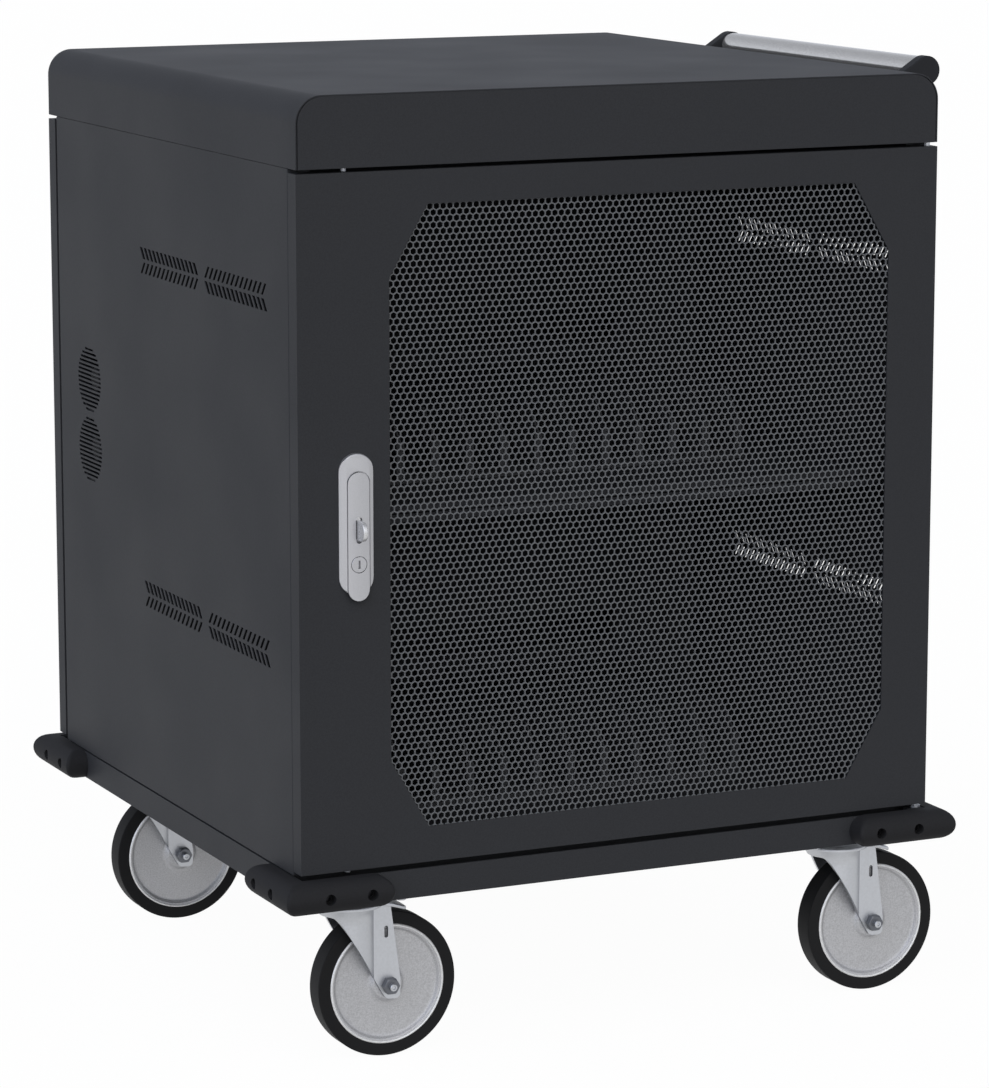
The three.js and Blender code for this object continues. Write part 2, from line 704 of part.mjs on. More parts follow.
// Partition between the bays and the power compartment, with a cable slot for each level
const partitionRear = partitionFront + sheet;
{
  const wall = rectangle(-insideHalf, insideHalf, bodyBottom + seatGap, bodyTop - seatGap);
  for (const level of [shelfTop, bodyBottom]) {
    wall.holes.push(rectangle(-cableSlotWidth / 2, cableSlotWidth / 2,
      level + cableSlotAbove, level + cableSlotAbove + cableSlotHeight));
  }
  add("rear_partition", extrude(wall, "y", partitionFront, partitionRear), innerPaint);
}

// Power strips on the back of the partition, with a raised face for each socket
for (const [name, level] of [["power_strip_upper", shelfTop], ["power_strip_lower", bodyBottom]]) {
  const low = level + stripAbove;
  const front = partitionRear + seatGap;
  const section = roundedRectangle(front, front + stripDepth, low, low + stripHeight, stripCorner);
  const strip = extrude(section, "x", -stripLength / 2, stripLength / 2, 2);
  const sockets = Array.from({ length: stripSockets }, (_, i) =>
    block([-stripSocketSize / 2, stripSocketSize / 2],
      [front + stripDepth - over, front + stripDepth + stripSocketProud],
      [low + (stripHeight - stripSocketSize) / 2, low + (stripHeight + stripSocketSize) / 2])
      .translate((i - (stripSockets - 1) / 2) * stripSocketPitch, 0, 0));
  add(name, join(strip, ...sockets), blackPlastic);
}

// Fans: a square frame with a round bore and three struts that carry the motor's disc, and a rotor
fanZs.forEach((z, i) => {
  const name = ["upper", "lower"][i];
  const x0 = -halfWidth + sheet + seatGap;
  const x1 = x0 + fanDepth;
  const half = fanSize / 2;
  const frame = rectangle(fanY - half, fanY + half, z - half, z + half);
  frame.holes.push(circle(fanY, z, fanBore));
  const discAt = x1 - fanStrutThickness;
  const struts = [0, 1, 2].map((k) => extrude(
    rectangle(-fanStrutWidth / 2, fanStrutWidth / 2, 0, fanBore + over), "x", discAt, x1)
    .rotateX((k * 2 * Math.PI) / 3).translate(0, fanY, z));
  add(`fan_frame_${name}`, join(extrude(frame, "x", x0, x1, fanSteps),
    bar(fanHubRadius, "x", discAt, x1, [fanY, z]), ...struts), blackPlastic);

  const hubEnd = discAt - bearingGap;
  const hubStart = hubEnd - fanHubLength;
  const blades = Array.from({ length: fanBlades }, (_, k) =>
    block([-fanHubLength / 2 + over, fanHubLength / 2 - over],
      [-fanBladeThickness / 2, fanBladeThickness / 2], [fanHubRadius - 2 * over, fanBore - fanTipGap])
      .rotateZ(fanBladeAngle).rotateX((k * 2 * Math.PI) / fanBlades)
      .translate((hubStart + hubEnd) / 2, fanY, z));
  const hub = bar(fanHubRadius, "x", hubStart, hubEnd, [fanY, z]);
  add(`fan_rotor_${name}`, join(hub, ...blades), blackPlastic);
});

// Mains inlet in the right panel: a flanged socket with three pins
{
  const outside = halfWidth + seatGap + inletFlangeThickness;
  const inside = halfWidth - inletDepth;
  const [w, t, f] = [inletWidth / 2, inletTall / 2, inletFlange];
  const shell = join(
    block([inside, outside], [inletY - w, inletY + w], [inletZ - t, inletZ + t]),
    block([halfWidth + seatGap, outside], [inletY - w - f, inletY + w + f],
      [inletZ - t - f, inletZ + t + f]));
  const recess = block([inside + inletWall, outside + over],
    [inletY - w + inletWall, inletY + w - inletWall],
    [inletZ - t + inletWall, inletZ + t - inletWall]);
  const pins = [-1, 0, 1].map((k) => bar(inletPinRadius, "x", inside + over, halfWidth - inletPinSunk,
    [inletY + k * inletPinSpacing, inletZ], inletPinSides));
  add("power_inlet", join(cut(shell, recess), ...pins), blackPlastic);
}

// Handle: a tube between two brackets whose arms slope up from the cover's side
{
  const [x, y, z] = [halfWidth + handleOut, -handleAhead, bodyTop + handleRise];
  const half = handleTubeLength / 2;
  const tube = turned([[handleTubeRadius, -half], [handleTubeRadius, half],
    [handleTubeRadius - handleTubeWall, half], [handleTubeRadius - handleTubeWall, -half],
    [handleTubeRadius, -half]], tubeSides).rotateX(Math.PI / 2).translate(x, y, z);
  add("handle_tube", tube, tubeMetal);

  // Each edge of the arm runs from the foot to the point where it is tangent to the round end
  const foot = halfWidth + seatGap;
  const tangent = (footHeight, above) => {
    const [dx, dz] = [x - foot, z - bodyTop - footHeight];
    const turn = Math.asin(bracketEndRadius / Math.hypot(dx, dz));
    return Math.atan2(dz, dx) + above * (turn + Math.PI / 2);
  };
  const arm = new THREE.Shape();
  arm.moveTo(foot, bodyTop + bracketFootTop);
  arm.lineTo(foot, bodyTop + bracketFootBottom);
  arm.absarc(x, z, bracketEndRadius, tangent(bracketFootBottom, -1), tangent(bracketFootTop, 1), false);
  const front = y - half - seatGap;
  const rear = y + half + seatGap;
  add("handle_bracket_front", extrude(arm, "y", front - bracketThickness, front, armSteps), blackPlastic);
  add("handle_bracket_rear", extrude(arm, "y", rear, rear + bracketThickness, armSteps), blackPlastic);
}

// Corner bumpers: a section with a round nose along both walls, rounded off like a ball at the corner and
// at the ends, and cut back to the cabinet's faces
for (const [end, sideY] of [["front", -1], ["rear", 1]]) {
  for (const [hand, sideX] of [["left", -1], ["right", 1]]) {
    const low = baseBottom - bumperDrop;
    const high = low + bumperHeight;
    const section = (centre) =>
      roundedRectangle(centre - bumperOut, centre + bumperOut, low, high, bumperRound);
    const nose = (centre) =>
      roundedRectangle(centre - bumperRound, centre + bumperRound, low, high, bumperRound);
    const chord = bumperRound * Math.SQRT1_2;
    const ball = (x, y) => turned(
      [[0, low], [chord, low + bumperRound - chord], [bumperRound, low + bumperRound],
        [bumperRound, high - bumperRound], [chord, high - bumperRound + chord], [0, high]],
      bumperSides).translate(x, y, 0);
    const [cornerX, cornerY] = [sideX * halfWidth, sideY * halfDepth];
    const inset = bumperOut - bumperRound;
    const [outX, outY] = [cornerX + sideX * inset, cornerY + sideY * inset];
    const reach = bumperArm - bumperRound;
    const [endX, endY] = [cornerX - sideX * reach, cornerY - sideY * reach];
    const whole = join(
      ball(outX, outY), ball(endX, outY), ball(outX, endY),
      extrude(section(cornerY), "x", ...span(outX, endX), 2),
      extrude(section(cornerX), "y", ...span(outY, endY), 2),
      extrude(nose(endX), "y", ...span(cornerY, outY), 2),
      extrude(nose(endY), "x", ...span(cornerX, outX), 2));
    const w = halfWidth + seatGap;
    const d = halfDepth + seatGap;
    const cabinet = block([-w, w], [-d, d], [low - over, high + over]);
    add(`bumper_${end}_${hand}`, cut(whole, cabinet), bumperRubber);
  }
}

// Casters, each in a group on its swivel axis, with the wheel trailing towards +X
for (const [end, sideY] of [["front", -1], ["rear", 1]]) {
  for (const [hand, sideX] of [["left", -1], ["right", 1]]) {
    const caster = new THREE.Group();
    const insetY = end === "front" ? casterInsetFront : casterInsetRear;
    caster.position.set(sideX * (halfWidth - casterInsetX), sideY * (halfDepth - insetY), 0);
    cart.add(caster);
    const named = (piece) => `caster_${end}_${hand}_${piece}`;

    // Plate with the bearing race under it, and the riveted kingpin
    const plateTop = baseBottom - seatGap;
    const plateUnder = plateTop - casterPlateThickness;
    const raceUnder = plateUnder - raceHeight;
    const crownTop = raceUnder - bearingGap;
    const crownUnder = crownTop - crownThickness;
    const headTop = crownUnder - bearingGap;
    const plate = roundedRectangle(-casterPlateX / 2, casterPlateX / 2, -casterPlateY / 2, casterPlateY / 2,
      casterPlateCorner);
    add(named("plate"), join(
      extrude(plate, "z", plateUnder, plateTop, 1),
      turned([[0, headTop - kingpinHeadHeight], [kingpinHead, headTop - kingpinHeadHeight],
        [kingpinHead, headTop], [kingpinRadius, headTop], [kingpinRadius, raceUnder],
        [raceRadius, raceUnder], [raceRadius, plateUnder + over], [0, plateUnder + over]], kingpinSides)),
    zincSteel, caster);

    // Fork: a bent wall around the swivel, trimmed to two legs, under a crown drawn out over the wheel
    const bendRadius = Math.hypot(forkBend, forkHalf);
    const innerHalf = forkHalf - forkSheet;
    const innerRadius = bendRadius - forkSheet;
    const innerBend = Math.sqrt(innerRadius ** 2 - innerHalf ** 2);
    const toe = casterTrail + forkToeRadius;
    const bendAngle = Math.atan2(forkHalf, forkBend);
    const innerAngle = Math.atan2(innerHalf, innerBend);
    const wall = new THREE.Shape();
    wall.moveTo(toe, forkHalf);
    wall.absarc(0, 0, bendRadius, bendAngle, 2 * Math.PI - bendAngle, false);
    wall.lineTo(toe, -forkHalf);
    wall.lineTo(toe, -innerHalf);
    wall.absarc(0, 0, innerRadius, -innerAngle, innerAngle - 2 * Math.PI, true);
    wall.lineTo(toe, innerHalf);
    const side = new THREE.Shape();
    side.moveTo(forkLegTop, crownUnder + over);
    side.lineTo(-bendRadius - over, crownUnder + over);
    side.lineTo(-bendRadius - over, crownUnder - forkShoulderDrop / 2);
    side.lineTo(-bendRadius + forkShoulderDrop, crownUnder - forkShoulderDrop);
    side.lineTo(forkBend, forkHeelHeight);
    side.absarc(casterTrail, wheelRadius, forkToeRadius, forkHeelAngle, 2 * Math.PI, false);
    const crownHalf = forkHalf + crownLip;
    const crown = new THREE.Shape();
    crown.absarc(0, 0, bendRadius + crownLip, bendAngle, 2 * Math.PI - bendAngle, false);
    crown.absarc(crownReach - crownCorner, crownCorner - crownHalf, crownCorner, 1.5 * Math.PI, 2 * Math.PI,
      false);
    crown.absarc(crownReach - crownCorner, crownHalf - crownCorner, crownCorner, 0, 0.5 * Math.PI, false);
    const slotX = casterTrail - forkSlotBack;
    const slotZ = wheelRadius + forkSlotAbove;
    add(named("fork"), cut(
      join(
        common(
          extrude(wall, "z", wheelRadius - forkToeRadius - over, crownUnder + over, 2),
          extrude(side, "y", -bendRadius - over, bendRadius + over)),
        extrude(crown, "z", crownUnder, crownTop, crownSteps)),
      bar(kingpinRadius + bearingGap, "z", crownUnder - over, crownTop + over, [0, 0], kingpinSides),
      bar(axleRadius + bearingGap, "y", -forkHalf - over, forkHalf + over, [casterTrail, wheelRadius],
        axleSides),
      block([slotX - forkSlotWidth / 2, slotX + forkSlotWidth / 2], [-forkHalf - over, forkHalf + over],
        [slotZ - forkSlotLength / 2, slotZ + forkSlotLength / 2])), zincSteel, caster);

    // Axle bolt: hexagon head at the back, nut at the front
    const nutStart = forkHalf + seatGap;
    const nutEnd = nutStart + axleNutHeight;
    const at = [casterTrail, wheelRadius];
    add(named("axle"), join(
      bar(axleRadius, "y", -nutEnd - axleEndLength, nutEnd - over, at, axleSides),
      bar(axleNutRadius, "y", -nutEnd, -nutStart, at, nutSides),
      bar(axleNutRadius, "y", nutStart, nutEnd - over, at, nutSides)), zincSteel, caster);

    // Wheel and tyre, turned about the axle with a flat facet at the bottom
    const facet = 1 / Math.cos(Math.PI / wheelSides);
    const toAxle = (half) => {
      const upper = half.map(([r, y]) => [r * facet, y]);
      const lower = upper.map(([r, y]) => [r, -y]);
      return turned([...lower, ...upper.reverse(), lower[0]], wheelSides)
        .rotateZ(Math.PI / wheelSides).rotateX(Math.PI / 2).translate(casterTrail, 0, wheelRadius);
    };
    const hubHalf = innerHalf - hubGap;
    const bore = axleRadius + bearingGap;
    const halfWheel = [[bore, hubHalf], [hubRadius, hubHalf], [hubRadius, webHalf],
      [rimRadius - rimLip, webHalf], [rimRadius, rimHalfWidth]];
    add(named("wheel"), toAxle(halfWheel), wheelPlastic, caster);

    const tyreInner = rimRadius + seatGap;
    const halfTyre = [[tyreInner, rimHalfWidth], [wheelRadius - tyreShoulder, tyreHalfWidth],
      [wheelRadius, tyreHalfWidth - tyreShoulder]];
    add(named("tyre"), toAxle(halfTyre), tyreRubber, caster);
  }
}

// The origin lies on the floor under the middle of the whole cart, handle and bumpers included
cart.position.x = -(handleOut + bracketEndRadius - bumperOut) / 2;

export default cart;
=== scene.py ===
"""A laptop charging cart: powder-coated cabinet, perforated door with a lever lock, casters and a handle.

Shapes are drawn in millimetres in the cart's own frame (+Z up, the door facing -Y) and scaled to metres
when they become objects.
"""

import math

import bmesh
import bpy
from mathutils import Matrix, Vector


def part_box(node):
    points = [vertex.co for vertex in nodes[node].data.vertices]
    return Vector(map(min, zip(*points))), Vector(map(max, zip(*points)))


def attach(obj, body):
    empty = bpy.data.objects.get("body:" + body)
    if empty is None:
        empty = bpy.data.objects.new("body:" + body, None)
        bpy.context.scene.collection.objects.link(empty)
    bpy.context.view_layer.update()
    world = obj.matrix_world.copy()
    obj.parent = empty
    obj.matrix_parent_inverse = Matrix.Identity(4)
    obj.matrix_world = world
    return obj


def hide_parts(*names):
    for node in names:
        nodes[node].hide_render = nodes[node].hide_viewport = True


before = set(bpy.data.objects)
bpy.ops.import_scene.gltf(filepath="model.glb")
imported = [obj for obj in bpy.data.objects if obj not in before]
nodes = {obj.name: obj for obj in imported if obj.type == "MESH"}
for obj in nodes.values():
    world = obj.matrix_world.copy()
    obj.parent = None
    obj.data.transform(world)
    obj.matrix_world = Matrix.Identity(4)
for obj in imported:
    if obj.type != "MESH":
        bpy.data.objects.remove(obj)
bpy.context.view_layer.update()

# Camera: a long lens, which keeps the upright edges nearly parallel, well back from the front left corner and
# a little above the cart.
camera_data = bpy.data.cameras.new("camera")
camera_data.sensor_fit = "VERTICAL"
camera_data.sensor_height = 36
camera_data.lens = 143
camera_data.shift_x = 0.0015
camera_data.shift_y = 0.0064
camera_data.clip_end = 200
camera = bpy.data.objects.new("camera", camera_data)
camera.location = (-1.6538, -3.5171, 1.1011)
camera.rotation_euler = (math.radians(90 - 10.546), 0, math.radians(-25.127))
bpy.context.scene.collection.objects.link(camera)
bpy.context.scene.camera = camera
bpy.context.scene.view_settings.view_transform = "Standard"


# Studio: a white floor that keeps a faint shadow, a white surround that dims overhead, and two wide soft
# lamps. The white is what the camera and reflections see; the cart is lit by the lamps and a dim ambience.
GROUND_SIZE, GROUND_GREY, GROUND_GLOW, GLOW_SHARE = 60, 0.3, 1.14, 0.85
AMBIENT, OVERHEAD, DIM_FROM, DIM_TO = 0.26, 0.45, 0.05, 0.6
LAMP_SPREAD = math.radians(70)
LAMPS = (("left_lamp", (0.75, 0.25, -0.62), 0.96, "#dfe9ff"),
         ("front_lamp", (0.1, 0.85, -0.5), 1.06, "#fffefc"))


def srgb(code):
    """A hex colour as linear light."""
    channels = [int(code[i:i + 2], 16) / 255 for i in (1, 3, 5)]
    linear = [c / 12.92 if c <= 0.04045 else ((c + 0.055) / 1.055) ** 2.4 for c in channels]
    return (*linear, 1)


def add_node(tree, kind, inputs, **settings):
    """Add a shader node; an input is either a value or the socket that feeds it."""
    node = tree.nodes.new(kind)
    for name, value in settings.items():
        setattr(node, name, value)
    for name, value in inputs.items():
        if isinstance(value, bpy.types.NodeSocket):
            tree.links.new(value, node.inputs[name])
        else:
            node.inputs[name].default_value = value
    return node


def blank_tree(owner):
    """The node tree of a material or world, emptied."""
    owner.use_nodes = True
    owner.node_tree.nodes.clear()
    return owner.node_tree


def shown_rays(tree):
    """1 for the rays that show the surround, straight or in a reflection, and 0 for those that light."""
    ray = add_node(tree, "ShaderNodeLightPath", {})
    seen = add_node(tree, "ShaderNodeMath", {0: ray.outputs["Is Camera Ray"],
                                             1: ray.outputs["Is Glossy Ray"]}, operation="MAXIMUM")
    shown = add_node(tree, "ShaderNodeMath", {0: seen.outputs[0], 1: ray.outputs["Is Transmission Ray"]},
                     operation="MAXIMUM")
    return shown.outputs[0]


world = bpy.data.worlds.new("white_surround")
bpy.context.scene.world = world
tree = blank_tree(world)
aim = add_node(tree, "ShaderNodeTexCoord", {}).outputs["Generated"]
height = add_node(tree, "ShaderNodeSeparateXYZ", {"Vector": aim}).outputs["Z"]
fall = add_node(tree, "ShaderNodeMapRange", {"Value": height, "From Min": DIM_FROM, "From Max": DIM_TO,
                                             "To Min": 1, "To Max": OVERHEAD})
ambient = add_node(tree, "ShaderNodeBackground", {"Color": srgb("#f6f6f6"), "Strength": AMBIENT})
white = add_node(tree, "ShaderNodeBackground", {"Color": srgb("#eff4ff"), "Strength": fall.outputs[0]})
mixed = add_node(tree, "ShaderNodeMixShader", {0: shown_rays(tree), 1: ambient.outputs[0],
                                               2: white.outputs[0]})
add_node(tree, "ShaderNodeOutputWorld", {"Surface": mixed.outputs[0]})

floor_mesh = bpy.data.meshes.new("floor")
shape = bmesh.new()
bmesh.ops.create_grid(shape, x_segments=1, y_segments=1, size=GROUND_SIZE)
shape.to_mesh(floor_mesh)
shape.free()
floor = bpy.data.objects.new("floor", floor_mesh)
bpy.context.scene.collection.objects.link(floor)
paper = bpy.data.materials.new("white_paper")
tree = blank_tree(paper)
matt = add_node(tree, "ShaderNodeBsdfDiffuse", {"Color": (GROUND_GREY, GROUND_GREY, GROUND_GREY, 1)})
glow = add_node(tree, "ShaderNodeEmission", {"Color": (1, 1, 1, 1), "Strength": GROUND_GLOW})
share = add_node(tree, "ShaderNodeMath", {0: shown_rays(tree), 1: GLOW_SHARE}, operation="MULTIPLY")
mixed = add_node(tree, "ShaderNodeMixShader", {0: share.outputs[0], 1: matt.outputs[0], 2: glow.outputs[0]})
add_node(tree, "ShaderNodeOutputMaterial", {"Surface": mixed.outputs[0]})
floor_mesh.materials.append(paper)

for name, towards, strength, colour in LAMPS:
    lamp_data = bpy.data.lights.new(name, "SUN")
    lamp_data.energy = strength
    lamp_data.angle = LAMP_SPREAD
    lamp_data.color = srgb(colour)[:3]
    lamp = bpy.data.objects.new(name, lamp_data)
    lamp.rotation_euler = Vector(towards).to_track_quat("-Z", "Y").to_euler()
    bpy.context.scene.collection.objects.link(lamp)


# Top cover: one steel sheet with its side edges rolled down over formers, and two end panels let in
# between the rolls. The cabinet's outside has one polyester powder coat, a dull charcoal whose fine orange
# peel shows only as grain.
MM = 0.001
COVER_RADIUS, ROLL_STEPS = 23, 14
COVER_SHEET = 1.3
SHEET_EDGE = 0.5
SEAM = 0.7
SHARP_ANGLE = math.radians(31)
FOLD_ANGLE = 50
FACING = 0.9
# Orange peel is about 0.5 mm across, too fine to show, so it is drawn coarser. The clouds are what uneven
# spraying does to the gloss.
PEEL, CLOUDS = 1.4, 120


def box_mm(node):
    """The lowest and highest corner of a CAD node, in millimetres."""
    low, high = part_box(node)
    return low / MM, high / MM


def grained(tree, colour, grain, speckle, detail=3):
    """A noise with a grain in millimetres, and a colour that it makes lighter and darker."""
    place = add_node(tree, "ShaderNodeTexCoord", {}).outputs["Object"]
    grit = add_node(tree, "ShaderNodeTexNoise", {"Vector": place, "Scale": 1 / (grain * MM),
                                                 "Detail": detail})
    tint = add_node(tree, "ShaderNodeMapRange", {"Value": grit.outputs[0], "From Min": 0.3, "From Max": 0.7,
                                                 "To Min": 1 - speckle, "To Max": 1 + speckle})
    colours = add_node(tree, "ShaderNodeMix", {"Factor": 1, "A": srgb(colour), "B": tint.outputs[0]},
                       data_type="RGBA", blend_type="MULTIPLY")
    return grit.outputs[0], colours.outputs["Result"]


def powder_coat(name, colour, grain=0.08, roughness=0.55):
    """Baked powder coat: dull and even, with a slight grain."""
    material = bpy.data.materials.new(name)
    tree = blank_tree(material)
    peel, colours = grained(tree, colour, PEEL, grain, detail=2)
    place = add_node(tree, "ShaderNodeTexCoord", {}).outputs["Object"]
    cloud = add_node(tree, "ShaderNodeTexNoise", {"Vector": place, "Scale": 1 / (CLOUDS * MM), "Detail": 2})
    gloss = add_node(tree, "ShaderNodeMapRange", {"Value": cloud.outputs[0], "From Min": 0.3, "From Max": 0.7,
                                                  "To Min": roughness - 0.03, "To Max": roughness + 0.03})
    bump = add_node(tree, "ShaderNodeBump", {"Height": peel, "Strength": 0.12, "Distance": 0.2 * MM})
    coat = add_node(tree, "ShaderNodeBsdfPrincipled", {
        "Base Color": colours, "Roughness": gloss.outputs[0], "Normal": bump.outputs[0],
        "Specular IOR Level": 0.1})
    add_node(tree, "ShaderNodeOutputMaterial", {"Surface": coat.outputs[0]})
    return material


def prism(outline, move, rounded=(), radius=0, steps=8):
    """A closed solid: an outline of corners, some of them rounded by a radius, pulled along a vector."""
    shape = bmesh.new()
    corners = [shape.verts.new(corner) for corner in outline]
    shape.faces.new(corners)
    if rounded:
        bmesh.ops.bevel(shape, geom=[corners[i] for i in rounded], offset=radius, offset_type="OFFSET",
                        affect="VERTICES", segments=steps, profile=0.5, material=-1)
    made = bmesh.ops.extrude_face_region(shape, geom=shape.faces[:])["geom"]
    verts = [part for part in made if isinstance(part, bmesh.types.BMVert)]
    bmesh.ops.translate(shape, vec=move, verts=verts)
    bmesh.ops.recalc_face_normals(shape, faces=shape.faces[:])
    return shape


def soften(shape, radius, angle=30, steps=2, keep=None):
    """Round every edge sharper than an angle, or those of them that keep() picks."""
    shape.normal_update()
    sharp = [edge for edge in shape.edges if edge.calc_face_angle(0) > math.radians(angle)]
    if keep:
        sharp = [edge for edge in sharp if keep(edge)]
    bmesh.ops.bevel(shape, geom=sharp, offset=radius, offset_type="OFFSET", affect="EDGES", segments=steps,
                    profile=0.5, material=-1, clamp_overlap=True)
    return shape


def add_piece(name, shape, material, body, slot, *stands_for):
    """Make a bmesh drawn in millimetres an object that rides on a body and stands for CAD nodes."""
    bmesh.ops.scale(shape, vec=(MM, MM, MM), verts=shape.verts[:])
    mesh = bpy.data.meshes.new(name)
    shape.to_mesh(mesh)
    shape.free()
    mesh.shade_smooth()
    mesh.set_sharp_from_angle(angle=SHARP_ANGLE)
    mesh.materials.append(material)
    piece = bpy.data.objects.new(name, mesh)
    bpy.context.scene.collection.objects.link(piece)
    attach(piece, body)
    if stands_for:
        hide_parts(*stands_for)
    even = piece.modifiers.new("even_normals", "WEIGHTED_NORMAL")
    even.keep_sharp = True


# The coat gives the eye a dull, near-black grey that shades softly from face to face.
charcoal_coat = powder_coat("charcoal_powder_coat", "#3d3e41")
low, high = box_mm("top_cover")
arch = [(low.x, low.y, low.z), (high.x, low.y, low.z), (high.x, low.y, high.z), (low.x, low.y, high.z)]
cover = prism(arch, (0, high.y - low.y, 0), rounded=(2, 3), radius=COVER_RADIUS, steps=ROLL_STEPS)
open_sides = [face for face in cover.faces if abs(face.normal.y) > FACING or face.normal.z < -FACING]
bmesh.ops.delete(cover, geom=open_sides, context="FACES")
bmesh.ops.solidify(cover, geom=cover.faces[:], thickness=COVER_SHEET)
soften(cover, SHEET_EDGE, angle=FOLD_ANGLE)
add_piece("rolled_cover", cover, charcoal_coat, "cart", "body_paint", "top_cover")

left, right = low.x + COVER_SHEET + SEAM, high.x - COVER_SHEET - SEAM
top = high.z - COVER_SHEET


def below_top(edge):
    """Whether an edge of an end panel lies below the panel's top edge."""
    return (edge.verts[0].co.z + edge.verts[1].co.z) / 2 < top - SHEET_EDGE


for name, node in (("cover_front_panel", "top_front_panel"), ("cover_rear_panel", "top_rear_panel")):
    panel_low, panel_high = box_mm(node)
    face = [(left, panel_low.y, low.z), (right, panel_low.y, low.z), (right, panel_low.y, top),
            (left, panel_low.y, top)]
    panel = prism(face, (0, panel_high.y - panel_low.y, 0), rounded=(2, 3),
                  radius=COVER_RADIUS - COVER_SHEET, steps=ROLL_STEPS)
    soften(panel, SHEET_EDGE, angle=FOLD_ANGLE, keep=below_top)
    add_piece(name, panel, charcoal_coat, "cart", "door_paint", node)


# Side panels: folded sheet with punched chevron vents, a fan grille pair on the left and the mains inlet's
# cut-out on the right. They hook behind the doors and screw to the base. A vent's width goes by the way
# its slots lean.
PANEL_SHEETS = {"left": 0.9, "right": 1.6}
PANEL_RETURN = 20
FOLD_RADIUS = 0.9
BASE_SEAM = 1.6
DOOR_SEAM = 0.5
VENT_CENTRE_Y = -86.5
VENT_CENTRES_Z = (654.5, 354.3)
VENT_SLOTS = 14
VENT_PITCH = 9.85
VENT_FIRST = 7.1
VENT_SLANT = 7.8
VENT_RISE = 10
VENT_ROW_GAP = 3
VENT_WIDTHS = {"left": {-1: 4.4, 1: 6}, "right": {-1: 3.8, 1: 4}}
GRILLE_RADIUS = 30
GRILLE_SLOTS = 15
GRILLE_PITCH = 4
GRILLE_SLOT_HEIGHT = 2.1
INLET_FLANGE = 6.8


def ring(shape, corners):
    """A closed loop of edges."""
    verts = [shape.verts.new(corner) for corner in corners]
    return [shape.edges.new(pair) for pair in zip(verts, verts[1:] + verts[:1])]


def vent_slots(shape, x, widths):
    """Outlines of both chevron vents of a side, on its outer face."""
    for centre_z in VENT_CENTRES_Z:
        for along in (-1, 1):
            for up in (-1, 1):
                for i in range(VENT_SLOTS):
                    near = VENT_FIRST + i * VENT_PITCH
                    low_z, high_z = VENT_ROW_GAP / 2, VENT_ROW_GAP / 2 + VENT_RISE
                    width = widths[along * up]
                    slanted = ((near, low_z), (near + width, low_z), (near + VENT_SLANT + width, high_z),
                               (near + VENT_SLANT, high_z))
                    ring(shape, [(x, VENT_CENTRE_Y + along * y, centre_z + up * z) for y, z in slanted])


def grille_slots(shape, x, node):
    """Outlines of the level slots in front of a fan, cut to a circle."""
    low, high = box_mm(node)
    middle_y, middle_z = (low.y + high.y) / 2, (low.z + high.z) / 2
    for i in range(GRILLE_SLOTS):
        z = (i - (GRILLE_SLOTS - 1) / 2) * GRILLE_PITCH
        half = math.sqrt(GRILLE_RADIUS ** 2 - z ** 2)
        below, above = middle_z + z - GRILLE_SLOT_HEIGHT / 2, middle_z + z + GRILLE_SLOT_HEIGHT / 2
        ring(shape, [(x, middle_y - half, below), (x, middle_y + half, below),
                     (x, middle_y + half, above), (x, middle_y - half, above)])


for hand, side in (("left", -1), ("right", 1)):
    low, high = box_mm(f"side_panel_{hand}")
    low.z += BASE_SEAM
    if hand == "left":
        low.y = box_mm("front_door_skin")[1].y + DOOR_SEAM
    outer_x = low.x if side < 0 else high.x
    panel = bmesh.new()
    ring(panel, [(outer_x, low.y, low.z), (outer_x, high.y, low.z), (outer_x, high.y, high.z),
                 (outer_x, low.y, high.z)])
    vent_slots(panel, outer_x, VENT_WIDTHS[hand])
    if hand == "left":
        for fan in ("upper", "lower"):
            grille_slots(panel, outer_x, f"fan_frame_{fan}")
    else:
        inlet_low, inlet_high = box_mm("power_inlet")
        near_y, far_y = inlet_low.y + INLET_FLANGE, inlet_high.y - INLET_FLANGE
        below, above = inlet_low.z + INLET_FLANGE, inlet_high.z - INLET_FLANGE
        ring(panel, [(outer_x, near_y, below), (outer_x, far_y, below), (outer_x, far_y, above),
                     (outer_x, near_y, above)])
    bmesh.ops.triangle_fill(panel, use_beauty=True, use_dissolve=False, edges=panel.edges[:])
    ends = [edge for edge in panel.edges
            if all(vert.co.y in (low.y, high.y) for vert in edge.verts)
            and edge.verts[0].co.y == edge.verts[1].co.y]
    made = bmesh.ops.extrude_edge_only(panel, edges=ends)["geom"]
    returns = [part for part in made if isinstance(part, bmesh.types.BMVert)]
    bmesh.ops.translate(panel, vec=(-side * PANEL_RETURN, 0, 0), verts=returns)
    bmesh.ops.recalc_face_normals(panel, faces=panel.faces[:])
    panel.normal_update()
    flat = next(face for face in panel.faces if abs(face.normal.x) > FACING)
    if flat.normal.x * side < 0:
        bmesh.ops.reverse_faces(panel, faces=panel.faces[:])
    bmesh.ops.bevel(panel, geom=ends, offset=FOLD_RADIUS, offset_type="OFFSET", affect="EDGES", segments=3,
                    profile=0.5, material=-1)
    bmesh.ops.solidify(panel, geom=panel.faces[:], thickness=PANEL_SHEETS[hand])
    add_piece(f"vented_side_{hand}", panel, charcoal_coat, "cart", "body_paint", f"side_panel_{hand}")


# Base: a shallow folded steel tray that carries the panels and the casters. Its rim stands a little below
# the doors, and the lock's rods and the hinge pins show in that gap.
BASE_EDGE = 0.6
# Points closer than a hair count as one.
HAIR = 0.01


